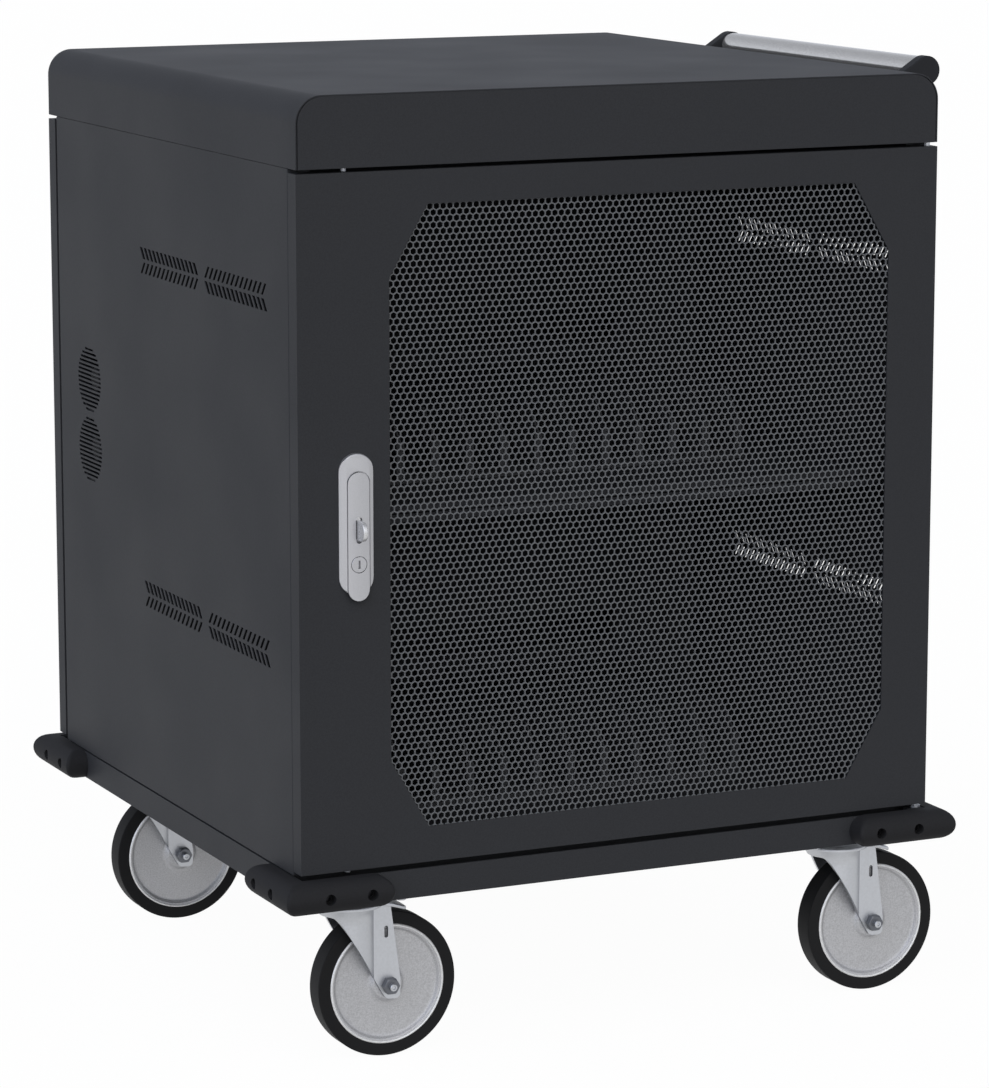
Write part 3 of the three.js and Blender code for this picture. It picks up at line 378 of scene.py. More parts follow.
def cad_copy(node):
    """A CAD solid in millimetres, with its triangles merged into flat faces."""
    shape = bmesh.new()
    shape.from_mesh(nodes[node].data)
    bmesh.ops.scale(shape, vec=(1 / MM, 1 / MM, 1 / MM), verts=shape.verts[:])
    bmesh.ops.remove_doubles(shape, verts=shape.verts[:], dist=HAIR)
    bmesh.ops.dissolve_limit(shape, angle_limit=math.radians(1), verts=shape.verts[:], edges=shape.edges[:])
    return shape


base_pan = soften(cad_copy("base_tray"), BASE_EDGE)
add_piece("base_pan", base_pan, charcoal_coat, "cart", "body_paint", "base_tray")


# Doors: folded sheet skins with the cabinet's coat, hung on pin hinges. The front one has an eight-sided
# window; the rear one is plain.
DOOR_EDGE = 0.5
front_frame = soften(cad_copy("front_door_skin"), DOOR_EDGE)
add_piece("front_door_frame", front_frame, charcoal_coat, "front_door", "door_paint", "front_door_skin")
rear_panel = soften(cad_copy("rear_door_skin"), DOOR_EDGE)
add_piece("rear_door_panel", rear_panel, charcoal_coat, "rear_door", "body_paint", "rear_door_skin")


# Perforated sheet: steel punched with hexagons, with a plain margin that is spot-welded behind the door's
# window. Two pieces, split between whole holes, keep each mesh to a fair size.
HOLE_PITCH = 6
HOLE_WEB = 1.02
ROW_PITCH = HOLE_PITCH * math.sqrt(0.75)
WINDOW_CHAMFER = (34.7, 59.5)
SHEET_MARGIN = 8

sheet_low, sheet_high = box_mm("front_door_mesh")
middle = (sheet_low + sheet_high) / 2
half_width = (sheet_high.x - sheet_low.x) / 2
half_height = (sheet_high.z - sheet_low.z) / 2
sheet_thickness = sheet_high.y - sheet_low.y

cells = bmesh.new()
bmesh.ops.create_circle(cells, cap_ends=True, radius=HOLE_PITCH / math.sqrt(3), segments=6)
bmesh.ops.rotate(cells, cent=(0, 0, 0), matrix=Matrix.Rotation(math.pi / 2, 3, "X"), verts=cells.verts[:])
columns = math.ceil(half_width / HOLE_PITCH) + 1
rows = math.ceil(half_height / ROW_PITCH) + 1


def repeated(shape, count, step):
    """Copy everything in a shape to both sides, a step apart; step() gives the place of each copy."""
    original = shape.verts[:] + shape.edges[:] + shape.faces[:]
    for i in [*range(-count, 0), *range(1, count + 1)]:
        copy = bmesh.ops.duplicate(shape, geom=original)["geom"]
        verts = [part for part in copy if isinstance(part, bmesh.types.BMVert)]
        bmesh.ops.translate(shape, vec=step(i), verts=verts)


repeated(cells, columns, lambda i: (i * HOLE_PITCH, 0, 0))
repeated(cells, rows, lambda i: (i % 2 * HOLE_PITCH / 2, 0, i * ROW_PITCH))
bmesh.ops.remove_doubles(cells, verts=cells.verts[:], dist=HAIR)

chamfer_x, chamfer_z = WINDOW_CHAMFER
edges_of_sheet = [((half_width, 0, 0), (1, 0, 0)), ((0, 0, half_height), (0, 0, 1)),
                  ((half_width - chamfer_x, 0, half_height), (chamfer_z, 0, chamfer_x))]
for place, normal in edges_of_sheet:
    for side_x in (-1, 1):
        for side_z in (-1, 1):
            flip = Vector((side_x, 1, side_z))
            bmesh.ops.bisect_plane(cells, geom=cells.verts[:] + cells.edges[:] + cells.faces[:], dist=0.001,
                                   plane_co=flip * Vector(place), plane_no=flip * Vector(normal),
                                   clear_outer=True)


def in_window(face):
    """Whether a cell is seen, whole or in part, through the window."""
    centre = face.calc_center_median()
    reach_x = abs(centre.x) - (half_width - SHEET_MARGIN + HOLE_PITCH / 2)
    reach_z = abs(centre.z) - (half_height - SHEET_MARGIN + HOLE_PITCH / 2)
    return reach_x < 0 and reach_z < 0 and reach_x / chamfer_x + reach_z / chamfer_z < -1


# The sheet's coat gives the eye a mid grey, which the holes darken to the door's tone from afar.
sheet_coat = powder_coat("grey_sheet_coat", "#797b7e")
for name, side in (("perforated_sheet_left", -1), ("perforated_sheet_right", 1)):
    half = cells.copy()
    others = [face for face in half.faces if (face.calc_center_median().x > -HAIR) != (side > 0)]
    bmesh.ops.delete(half, geom=others, context="FACES")
    punched = [face for face in half.faces if in_window(face)]
    bmesh.ops.inset_individual(half, faces=punched, thickness=HOLE_WEB / 2, use_even_offset=True)
    bmesh.ops.delete(half, geom=punched, context="FACES_ONLY")
    half.normal_update()
    if half.faces[:][0].normal.y > 0:
        bmesh.ops.reverse_faces(half, faces=half.faces[:])
    bmesh.ops.solidify(half, geom=half.faces[:], thickness=sheet_thickness)
    bmesh.ops.translate(half, vec=(middle.x, sheet_low.y, middle.z), verts=half.verts[:])
    add_piece(name, half, sheet_coat, "front_door", "door_paint", "front_door_mesh")
cells.free()


# Lock of the front door: a die-cast plate with a cup sunk into the door, a lever that lies on it, and a
# turntable in the cup whose half-moon tab stands through the lever. All of it is plated zinc: the plate and
# the lever satin, the turntable painted lighter as a highlight on its tab.
PLATE_EDGE, PLATE_FLAT, PLATE_SLOPE, PLATE_TRIM, PLATE_SEAM = 1.4, 10.4, 3.1, 1.6, 0.2
GROOVE_LEFT, GROOVE_RIGHT, GROOVE_TOP, GROOVE_DEPTH = 0.15, 1.5, 0.8, 1.2
GROOVE_UNDER, GROOVE_FOOT = 0.5, 1
CUP_RADIUS, CUP_BORE, CUP_DEPTH, CUP_FLOOR = 13.3, 11.9, 7, 2
WELL_RADIUS = 9.8
SPINDLE_RADIUS, SPINDLE_BORE = 4, 4.3
LEVER_HEIGHT, LEVER_TRIM, LEVER_CROWN, CROWN_OVERRUN = 6.2, 0.5, 0.8, 1.2
TAB_DROP, TAB_HALF, TAB_THICKNESS, TAB_EDGE = 38.7, 8.4, 4, 0.8
SLOT_GAP, SLOT_END, SLOT_POCKET = 0.9, 2.8, 3
KEY_DROP, KEY_RADIUS, KEY_RING, KEY_LENGTH, KEY_EDGE, KEY_POCKET = 67.5, 6.7, 0.45, 1.9, 0.3, 3
KEYWAY = (2, 7, 3)
TURN_RADIUS, TURN_FRONT, TURN_BACK = 11.1, 2.4, 4.6
CAM_HALF, CAM_LENGTH, CAM_THICKNESS = 9, 20, 2.2
NECK_HALF, NECK_RISE, NECK_BACK = 5.6, 1.7, 2
ARM_GAP = 0.1
SECTION_BACK, SECTION_ENDS = 30, 10
LEVEL_TOLERANCE = 0.1
OUTWARDS = (0, -1, 0)
# How far a cutter passes the face that it cuts.
CLEAR = 1


def satin_metal(name, colour, roughness, grain, speckle, metallic=1.0):
    """A metal whose blasted or plated grain breaks up its tone and gloss, drawn coarser than real to show."""
    material = bpy.data.materials.new(name)
    tree = blank_tree(material)
    grit, colours = grained(tree, colour, grain, speckle)
    gloss = add_node(tree, "ShaderNodeMapRange", {"Value": grit, "From Min": 0.3, "From Max": 0.7,
                                                  "To Min": roughness - 0.06, "To Max": roughness + 0.06})
    bump = add_node(tree, "ShaderNodeBump", {"Height": grit, "Strength": 0.1, "Distance": 0.1 * MM})
    metal = add_node(tree, "ShaderNodeBsdfPrincipled", {
        "Base Color": colours, "Metallic": metallic, "Roughness": gloss.outputs[0],
        "Normal": bump.outputs[0]})
    add_node(tree, "ShaderNodeOutputMaterial", {"Surface": metal.outputs[0]})
    return material


def turned(profile, centre, axis, steps=48):
    """Spin a profile of (radius, height) points about an axis; it closes on itself or on the axis."""
    shape = bmesh.new()
    centre, axis = Vector(centre), Vector(axis)
    side = axis.orthogonal().normalized()
    closed = profile[0] == profile[-1]
    points = profile[:-1] if closed else profile
    verts = [shape.verts.new(centre + side * radius + axis * height) for radius, height in points]
    edges = [shape.edges.new(pair) for pair in zip(verts, verts[1:])]
    if closed:
        edges.append(shape.edges.new((verts[-1], verts[0])))
    bmesh.ops.spin(shape, geom=verts + edges, cent=centre, axis=axis, dvec=(0, 0, 0), angle=math.tau,
                   steps=steps, use_merge=True)
    bmesh.ops.remove_doubles(shape, verts=shape.verts[:], dist=0.001)
    bmesh.ops.recalc_face_normals(shape, faces=shape.faces[:])
    return shape


def arc(across, up, radius, start, end, steps=16):
    """Points of an arc in a plane, its angles in degrees."""
    angles = [math.radians(start + (end - start) * step / steps) for step in range(steps + 1)]
    return [(across + radius * math.cos(angle), up + radius * math.sin(angle)) for angle in angles]


def pill(left, right, bottom, top, front, back):
    """A solid with round ends in the door's plane, from a front level to a back one."""
    middle, radius = (left + right) / 2, (right - left) / 2
    outline = arc(middle, top - radius, radius, 0, 180) + arc(middle, bottom + radius, radius, 180, 360)
    return prism([(x, front, z) for x, z in outline], (0, back - front, 0))


def block(low, high):
    """A box between two corners."""
    corners = [(low[0], low[1], low[2]), (high[0], low[1], low[2]), (high[0], high[1], low[2]),
               (low[0], high[1], low[2])]
    return prism(corners, (0, 0, high[2] - low[2]))


def joined(*shapes):
    """Several bodies as one bmesh."""
    whole = bmesh.new()
    for shape in shapes:
        mesh = bpy.data.meshes.new("body")
        shape.to_mesh(mesh)
        shape.free()
        whole.from_mesh(mesh)
        bpy.data.meshes.remove(mesh)
    return whole


def carved(shape, tool, operation="DIFFERENCE"):
    """Cut one body by another, or keep what both share."""
    bodies = []
    for part in (shape, tool):
        mesh = bpy.data.meshes.new("carving")
        part.to_mesh(mesh)
        part.free()
        body = bpy.data.objects.new("carving", mesh)
        bpy.context.scene.collection.objects.link(body)
        bodies.append(body)
    cut = bodies[0].modifiers.new("cut", "BOOLEAN")
    cut.object = bodies[1]
    cut.operation = operation
    cut.solver = "EXACT"
    result = bmesh.new()
    result.from_object(bodies[0], bpy.context.evaluated_depsgraph_get())
    for body in bodies:
        bpy.data.objects.remove(body)
    return result


# Satin zinc gives the eye an even mid grey with wide, soft highlights.
zinc_casting = satin_metal("satin_zinc_casting", "#bababd", 0.38, 0.9, 0.04, metallic=0.7)
door_face = box_mm("front_door_skin")[0].y
plate_low, plate_high = box_mm("lock_plate")
lever_low, lever_high = box_mm("lock_lever")
lock_x = (lever_low.x + lever_high.x) / 2
lever_half = (lever_high.x - lever_low.x) / 2
lever_back = lever_high.y
lever_face = door_face - LEVER_HEIGHT
pivot = Vector((lock_x, door_face, lever_high.z - lever_half))
tab_z = pivot.z - TAB_DROP
key_z = pivot.z - KEY_DROP


def at_level(level):
    """A test for edges that lie at one level in front of the door."""
    return lambda edge: all(abs(vert.co.y - level) < LEVEL_TOLERANCE for vert in edge.verts)


def faced(shape, front):
    """Cut a body's front to a section across the door, given as (x, y) points from left to right."""
    back = door_face + SECTION_BACK
    section = front + [(front[-1][0], back), (front[0][0], back)]
    low_z, high_z = lever_low.z - SECTION_ENDS, plate_high.z + SECTION_ENDS
    return carved(shape, prism([(x, y, low_z) for x, y in section], (0, 0, high_z - low_z)), "INTERSECT")


plate_half = (plate_high.x - plate_low.x) / 2
plate = pill(plate_low.x, plate_high.x - PLATE_TRIM, plate_low.z, plate_high.z, plate_low.y,
             door_face - PLATE_SEAM)
soften(plate, PLATE_EDGE, angle=FOLD_ANGLE, steps=4, keep=at_level(plate_low.y))
slope_end = plate_low.y + PLATE_SLOPE
plate = faced(plate, [(lock_x - plate_half - CLEAR, slope_end), (lock_x - PLATE_FLAT, plate_low.y - HAIR),
                      (lock_x + PLATE_FLAT, plate_low.y - HAIR), (lock_x + plate_half + CLEAR, slope_end)])
well = turned([(0, -CLEAR), (WELL_RADIUS, -CLEAR), (WELL_RADIUS, CUP_DEPTH), (0, CUP_DEPTH)], pivot, OUTWARDS)
cup = turned([(CUP_RADIUS, 0), (CUP_RADIUS, -CUP_DEPTH), (SPINDLE_BORE, -CUP_DEPTH),
              (SPINDLE_BORE, CUP_FLOOR - CUP_DEPTH), (CUP_BORE, CUP_FLOOR - CUP_DEPTH), (CUP_BORE, 0),
              (CUP_RADIUS, 0)], pivot, OUTWARDS)
grip_half = lever_half - LEVER_TRIM
groove = pill(lock_x - grip_half - GROOVE_LEFT, lock_x + grip_half + GROOVE_RIGHT, lever_low.z,
              pivot.z + grip_half + GROOVE_TOP, plate_low.y - CLEAR, plate_low.y + GROOVE_DEPTH)
under_half = grip_half - GROOVE_UNDER
under_lever = pill(lock_x - under_half, lock_x + under_half, lever_low.z + GROOVE_FOOT, pivot.z + under_half,
                   plate_low.y - 2 * CLEAR, plate_low.y + 2 * GROOVE_DEPTH)
slot_half, slot_end = TAB_THICKNESS / 2 + SLOT_GAP, TAB_HALF + SLOT_END
pocket = pill(lock_x - slot_half, lock_x + slot_half, tab_z - slot_end, tab_z + slot_end, plate_low.y - CLEAR,
              plate_low.y + SLOT_POCKET)
for cutter in (carved(groove, under_lever), well, pocket):
    plate = carved(plate, cutter)
add_piece("lock_escutcheon", joined(plate, cup), zinc_casting, "front_door", "lock_steel", "lock_plate")

lever = pill(lock_x - grip_half, lock_x + grip_half, lever_low.z, pivot.z + grip_half, lever_face - CLEAR,
             lever_back)
crown_radius = (grip_half ** 2 + LEVER_CROWN ** 2) / (2 * LEVER_CROWN)
spread = CROWN_OVERRUN * math.degrees(math.asin(grip_half / crown_radius))
lever = faced(lever, arc(lock_x, lever_face + crown_radius, crown_radius, 270 - spread, 270 + spread, 12))
lever = carved(lever, pill(lock_x - slot_half, lock_x + slot_half, tab_z - slot_end, tab_z + slot_end,
                           lever_face - 2 * CLEAR, lever_back + CLEAR))
key_place = (lock_x, lever_face, key_z)
key_hole = KEY_RADIUS + KEY_RING
lever = carved(lever, turned([(0, CLEAR), (key_hole, CLEAR), (key_hole, -KEY_POCKET), (0, -KEY_POCKET)],
                             key_place, OUTWARDS))
add_piece("lock_swing_lever", lever, zinc_casting, "lock_lever", "lock_steel", "lock_lever")

cylinder = turned([(0, -KEY_LENGTH), (KEY_RADIUS, -KEY_LENGTH), (KEY_RADIUS, -KEY_EDGE),
                   (KEY_RADIUS - KEY_EDGE, 0), (0, 0)], key_place, OUTWARDS)
keyway_width, keyway_height, keyway_depth = KEYWAY
keyway = block((lock_x - keyway_width / 2, lever_face - CLEAR, key_z - keyway_height / 2),
               (lock_x + keyway_width / 2, lever_face + keyway_depth, key_z + keyway_height / 2))
add_piece("lock_key_barrel", carved(cylinder, keyway), zinc_casting, "key_cylinder", "lock_steel",
          "key_cylinder")

turn_low, turn_high = box_mm("lock_turntable")
cam_back = turn_high.y
spindle = turned([(0, door_face - cam_back), (SPINDLE_RADIUS, door_face - cam_back),
                  (SPINDLE_RADIUS, -TURN_BACK), (TURN_RADIUS, -TURN_BACK), (TURN_RADIUS, -TURN_FRONT),
                  (0, -TURN_FRONT)], pivot, OUTWARDS)
cam = pill(lock_x - CAM_HALF, lock_x + CAM_HALF, pivot.z - CAM_LENGTH, pivot.z + CAM_LENGTH,
           cam_back - CAM_THICKNESS, cam_back)
neck = block((lock_x - NECK_HALF, lever_back, pivot.z - NECK_RISE),
             (lock_x + NECK_HALF, door_face + NECK_BACK, pivot.z + NECK_RISE))
tab_left, tab_right = lock_x - TAB_THICKNESS / 2, lock_x + TAB_THICKNESS / 2
arm = block((tab_left, lever_back, tab_z - TAB_HALF), (tab_right, plate_low.y - ARM_GAP, pivot.z))
outline = [(lever_back, tab_z - TAB_HALF), (lever_back, tab_z + TAB_HALF)]
outline += arc(turn_low.y + TAB_HALF, tab_z, TAB_HALF, 90, 270)
half_moon = prism([(tab_left, y, z) for y, z in outline], (TAB_THICKNESS, 0, 0))
soften(half_moon, TAB_EDGE, angle=FOLD_ANGLE, steps=3)
# The turntable's zinc is painted lighter than the plate's, a painted highlight that gives the one light spot
# on the lock.
zinc_painted_highlight = satin_metal("zinc_plate_painted_highlight", "#dadadb", 0.3, 0.9, 0.04, metallic=0.5)
add_piece("lock_half_moon", joined(spindle, cam, neck, arm, half_moon), zinc_painted_highlight, "lock_turntable",
          "lock_steel", "lock_turntable")


# Lock rods: zinc-plated round bars in two guides, pushed by the cam up into the roof and down into the base.
# Only their tips show, in the gaps above and below the door.
ROD_CHAMFER = 0.8
# Zinc plate gives the eye a cool light grey, faintly mottled.
zinc_plate = satin_metal("zinc_plated_steel", "#b9bbbf", 0.42, 2.2, 0.05)
for name in ("lock_rod_upper", "lock_rod_lower"):
    low, high = box_mm(name)
    radius = (high.y - low.y) / 2
    length = high.z - low.z
    rod = turned([(0, 0), (radius - ROD_CHAMFER, 0), (radius, ROD_CHAMFER), (radius, length - ROD_CHAMFER),
                  (radius - ROD_CHAMFER, length), (0, length)],
                 ((low.x + high.x) / 2, (low.y + high.y) / 2, low.z), (0, 0, 1), steps=24)
    add_piece(f"{name}_bar", rod, zinc_plate, name, "zinc_steel", name)


# Rear lock: a plated zinc cam lock with a round key face, held in the rear door by its barrel. Its tongue
# catches behind the side panel's return.
FACE_RADIUS, FACE_HEIGHT, FACE_CHAMFER, BARREL_RADIUS = 11.2, 3, 1.2, 9
RING_OUTER, RING_MIDDLE, RING_INNER, RING_DEPTH = 3.4, 3.7, 4, 0.4
TONGUE_HALF, TONGUE_THICKNESS, TONGUE_EDGE = 6, 2.5, 0.4
low, high = box_mm("rear_lock")
rear_x = (low.x + high.x) / 2
rear_z = low.z + FACE_RADIUS
face_y = high.y
barrel = turned([(0, low.y - face_y), (BARREL_RADIUS, low.y - face_y), (BARREL_RADIUS, -FACE_HEIGHT),
                 (FACE_RADIUS, -FACE_HEIGHT), (FACE_RADIUS, -FACE_CHAMFER), (FACE_RADIUS - FACE_CHAMFER, 0),
                 (FACE_RADIUS - RING_OUTER, 0), (FACE_RADIUS - RING_MIDDLE, -RING_DEPTH),
                 (FACE_RADIUS - RING_INNER, 0), (0, 0)], (rear_x, face_y, rear_z), (0, 1, 0))
keyway = block((rear_x - keyway_width / 2, face_y - keyway_depth, rear_z - keyway_height / 2),
               (rear_x + keyway_width / 2, face_y + CLEAR, rear_z + keyway_height / 2))
tongue = block((rear_x - TONGUE_HALF, low.y, rear_z),
               (rear_x + TONGUE_HALF, low.y + TONGUE_THICKNESS, high.z))
soften(tongue, TONGUE_EDGE)
add_piece("rear_cam_lock", joined(carved(barrel, keyway), tongue), zinc_casting, "rear_lock", "lock_steel",
          "rear_lock")


# Hinge pins: turned steel pins in the roof and the base's ears, on which the doors swing. They are seen only
# in the gaps round the doors, so the CAD pins stay and take the zinc plate.
for door in ("front", "rear"):
    for end in ("upper", "lower"):
        for slot in nodes[f"{door}_hinge_pin_{end}"].material_slots:
            slot.material = zinc_plate


# Handle: an anodised aluminium tube held between two moulded nylon brackets that bolt to the cover's side.
# The tube is bead-blasted, with a fine bright grain; the brackets have a spark-eroded texture.
TUBE_WALL, TUBE_EDGE = 2, 0.5
BRACKET_EDGE = 1.2


def moulded_plastic(name, colour, roughness, grain, speckle=0.1):
    """A moulding with an eroded texture that breaks up its gloss, drawn coarser than real to show."""
    material = bpy.data.materials.new(name)
    tree = blank_tree(material)
    pebble, colours = grained(tree, colour, grain, speckle)
    bump = add_node(tree, "ShaderNodeBump", {"Height": pebble, "Strength": 0.2, "Distance": 0.15 * MM})
    gloss = add_node(tree, "ShaderNodeMapRange", {"Value": pebble, "From Min": 0.3, "From Max": 0.7,
                                                  "To Min": roughness - 0.05, "To Max": roughness + 0.05})
    plastic = add_node(tree, "ShaderNodeBsdfPrincipled", {
        "Base Color": colours, "Roughness": gloss.outputs[0], "Normal": bump.outputs[0],
        "Specular IOR Level": 0.15})
    add_node(tree, "ShaderNodeOutputMaterial", {"Surface": plastic.outputs[0]})
    return material


# Nylon gives the eye a flat black; the tube is the brightest thing on the cart, with a sharp long highlight.
black_nylon = moulded_plastic("moulded_black_nylon", "#2b2c2f", 0.55, 1.2)
anodised = satin_metal("anodised_aluminium", "#d6d4d0", 0.2, 1.3, 0.1, metallic=0.8)
low, high = box_mm("handle_tube")
radius = (high.z - low.z) / 2
bore_radius = radius - TUBE_WALL
length = high.y - low.y
tube = turned([(bore_radius, 0), (radius - TUBE_EDGE, 0), (radius, TUBE_EDGE), (radius, length - TUBE_EDGE),
               (radius - TUBE_EDGE, length), (bore_radius, length), (bore_radius, 0)],
              ((low.x + high.x) / 2, low.y, (low.z + high.z) / 2), (0, 1, 0), steps=64)
add_piece("handle_grip_tube", tube, anodised, "cart", "tube_aluminium", "handle_tube")
for end in ("front", "rear"):
    arm = soften(cad_copy(f"handle_bracket_{end}"), BRACKET_EDGE, steps=3)
    add_piece(f"handle_arm_{end}", arm, black_nylon, "cart", "black_plastic", f"handle_bracket_{end}")


# Corner bumpers: moulded rubber corners that wrap the base, each with four deep round holes. The screws that
# hold it to the base sit at the bottom of them.
BUMPER_ROUND, BUMPER_EDGE, BUMPER_LEVELS = 13.4, 3, 16
SEAT = 0.2
HOLE_RADIUS = 4.8
HOLE_DEPTH = 9
HOLE_PLACES = (18, 56)
SCREW_SIDE = [(0, -1), (3.6, -1), (3.6, 1), (2.8, 2), (1.5, 2.2), (1.3, 0.6), (0, 0.4)]
# Rubber gives the eye a matt black a little greyer than the tyres; the screws are a faint glint in the holes.
rubber = moulded_plastic("moulded_rubber", "#2b2b2d", 0.7, 1.6, 0.12)
black_screw = satin_metal("blackened_steel", "#2a2a2c", 0.45, 0.8, 0.1)
base_low, base_high = box_mm("base_tray")
out = base_low.x - box_mm("bumper_front_left")[0].x
hole_side = [(0, -HOLE_DEPTH), (HOLE_RADIUS, -HOLE_DEPTH), (HOLE_RADIUS, CLEAR), (0, CLEAR)]
screw_side = [(radius, height - HOLE_DEPTH) for radius, height in SCREW_SIDE]


def corner_outline(reach, inset):
    """The plan of a bumper at one level, out from the corner and along it, with its outer faces set in."""
    nose, tip = out - inset - BUMPER_EDGE, inset + BUMPER_EDGE - reach
    outline = [(SEAT, SEAT), (SEAT, inset - reach)] + arc(nose, tip, BUMPER_EDGE, 270, 360, 4)
    outline += arc(nose, nose, BUMPER_EDGE, 0, 90, 4) + arc(tip, nose, BUMPER_EDGE, 90, 180, 4)
    return outline + [(inset - reach, SEAT)]


for end, side_y in (("front", -1), ("rear", 1)):
    for hand, side_x in (("left", -1), ("right", 1)):
        node = f"bumper_{end}_{hand}"
        low, high = box_mm(node)
        corner_x = base_low.x if side_x < 0 else base_high.x
        corner_y = base_low.y if side_y < 0 else base_high.y
        reach = high.x - low.x - out
        middle_z, half_height = (low.z + high.z) / 2, (high.z - low.z) / 2
        bumper = bmesh.new()
        rings = []
        for level in range(BUMPER_LEVELS + 1):
            angle = math.pi * (level / BUMPER_LEVELS - 0.5)
            z = middle_z + half_height * math.sin(angle)
            plan = corner_outline(reach, BUMPER_ROUND * (1 - math.cos(angle)))
            rings.append(ring(bumper, [(corner_x + side_x * x, corner_y + side_y * y, z) for x, y in plan]))
        for lower, upper in zip(rings, rings[1:]):
            bmesh.ops.bridge_loops(bumper, edges=lower + upper)
        for rim in (rings[0], rings[-1]):
            bmesh.ops.edgeloop_fill(bumper, edges=rim)
        bmesh.ops.recalc_face_normals(bumper, faces=bumper.faces[:])
        spots = []
        for along in HOLE_PLACES:
            spots.append(((corner_x - side_x * along, corner_y + side_y * out, middle_z), (0, side_y, 0)))
            spots.append(((corner_x + side_x * out, corner_y - side_y * along, middle_z), (side_x, 0, 0)))
        for place, axis in spots:
            bumper = carved(bumper, turned(hole_side, place, axis, steps=28))
        screws = joined(*(turned(screw_side, place, axis, steps=24) for place, axis in spots))
        add_piece(f"corner_buffer_{end}_{hand}", bumper, rubber, "cart", "bumper_rubber", node)
        add_piece(f"buffer_screws_{end}_{hand}", screws, black_screw, "cart", "zinc_steel")


# Casters: a pressed steel plate with a ball race, a fork bent from one zinc-plated blank, an axle with a nut
# at each end, and a silver cast wheel with a rubber tyre. Each is built round its own swivel.
PLATE_CORNER, PLATE_THICKNESS, PLATE_ROUND = 8, 2, 0.6
BOLT_X, BOLT_Y, BOLT_DROP = 37, 29, 4
BOLT_SIDE = [(0, 0), (4.4, 0), (5.6, 1.2), (5.6, 4.2), (0, 4.2)]
CROWN_LIP, CROWN_SIDE, CROWN_THICKNESS, CROWN_REACH, CROWN_CORNER = 6.8, 2.4, 3.5, 51, 12
CROWN_RAISE, CROWN_DROOP, CROWN_EDGE, CROWN_FACET = 3.5, 8.6, 1.2, 8
BEND, LEG_HALF, LEG_THICKNESS, LEG_TOE, LEG_CORNER, LEG_EDGE = 17.6, 15, 3, 42.4, 3, 0.5
LEG_BOTTOM, LEG_CLEAR = 50.6, 19
LEG_SIDE = [(-30, 137.7), (-30, 127.4), (-17.6, 128.6), (17.8, 70.5), (28.8, 51.6), (40.6, 51), (42.2, 54.5),
            (42.2, 68.5), (33.6, 132.5), (33.6, 135.7)]
LEG_SLOT = (27.4, 31, 105.6, 116.2)
FLARE_START, FLARE_STEP, FLARE_INSET = 121, 2, 0.6
RIVET_SIDE, RIVET_DROP = [(0, 5), (8, 5), (8, 1.5), (6.5, 0), (0, 0)], 4
HUB_BORE = 5.4
WHEEL_SIDE = [(HUB_BORE, 11.5), (12.2, 11.5), (13.2, 11.1), (14.8, 9.4), (16.2, 8.1), (18.5, 7.4), (30, 7),
              (44.6, 6.8), (46.4, 7), (47.3, 7.5), (48.1, 8.5), (48.9, 9.5), (49.7, 9.8), (52.55, 9.8)]
BEAD_SIDE = [(50.1, 9.7), (50.2, 10.2), (50.7, 10.9), (51.4, 11.2), (52.1, 10.9), (52.55, 10.3), (52.55, 9.7),
             (50.1, 9.7)]
TYRE_SIDE = [(52.7, 10.3), (61.9, 10.4), (63.1, 9.9), (63.5, 9)]
RACE_SIDE = [(0, 10), (19.6, 10), (21, 8.6), (21, 6.9), (20.2, 6.4), (20.2, 5.8), (21, 5.3), (21, 4.4),
             (20.4, 3.6), (0, 3.6)]
NUT_RADIUS, NUT_GAP, NUT_CHAMFER, NUT_TRIM = 7.6, 0.2, 2.2, 0.3
AXLE_RADIUS, AXLE_INSET, AXLE_TIP, TIP_CHAMFER = 4, 1, 3.2, 0.6
TIP_HOLLOW = [(0, 0.8), (1.2, 0.8), (1.6, 0)]


def hexagon_nut(radius, start, end, centre):
    """A hexagon along Y whose outer face, at the end, is turned down to a chamfered circle."""
    corners = arc(*centre, radius, 0, 300, 5)
    sides = prism([(x, start, z) for x, z in corners], (0, end - start, 0))
    way = 1 if end > start else -1
    height = abs(end - start)
    flat = radius * math.sqrt(3) / 2
    wide = radius + 2 * CLEAR
    cone = turned([(0, -CLEAR), (wide, -CLEAR), (wide, height - NUT_CHAMFER), (flat - NUT_TRIM, height),
                   (0, height)], (centre[0], start, centre[1]), (0, way, 0), steps=48)
    return carved(sides, cone, "INTERSECT")


def mirrored(side):
    """A turned profile from half of it: the other half is its mirror image."""
    return side + [(radius, -height) for radius, height in reversed(side)] + side[:1]
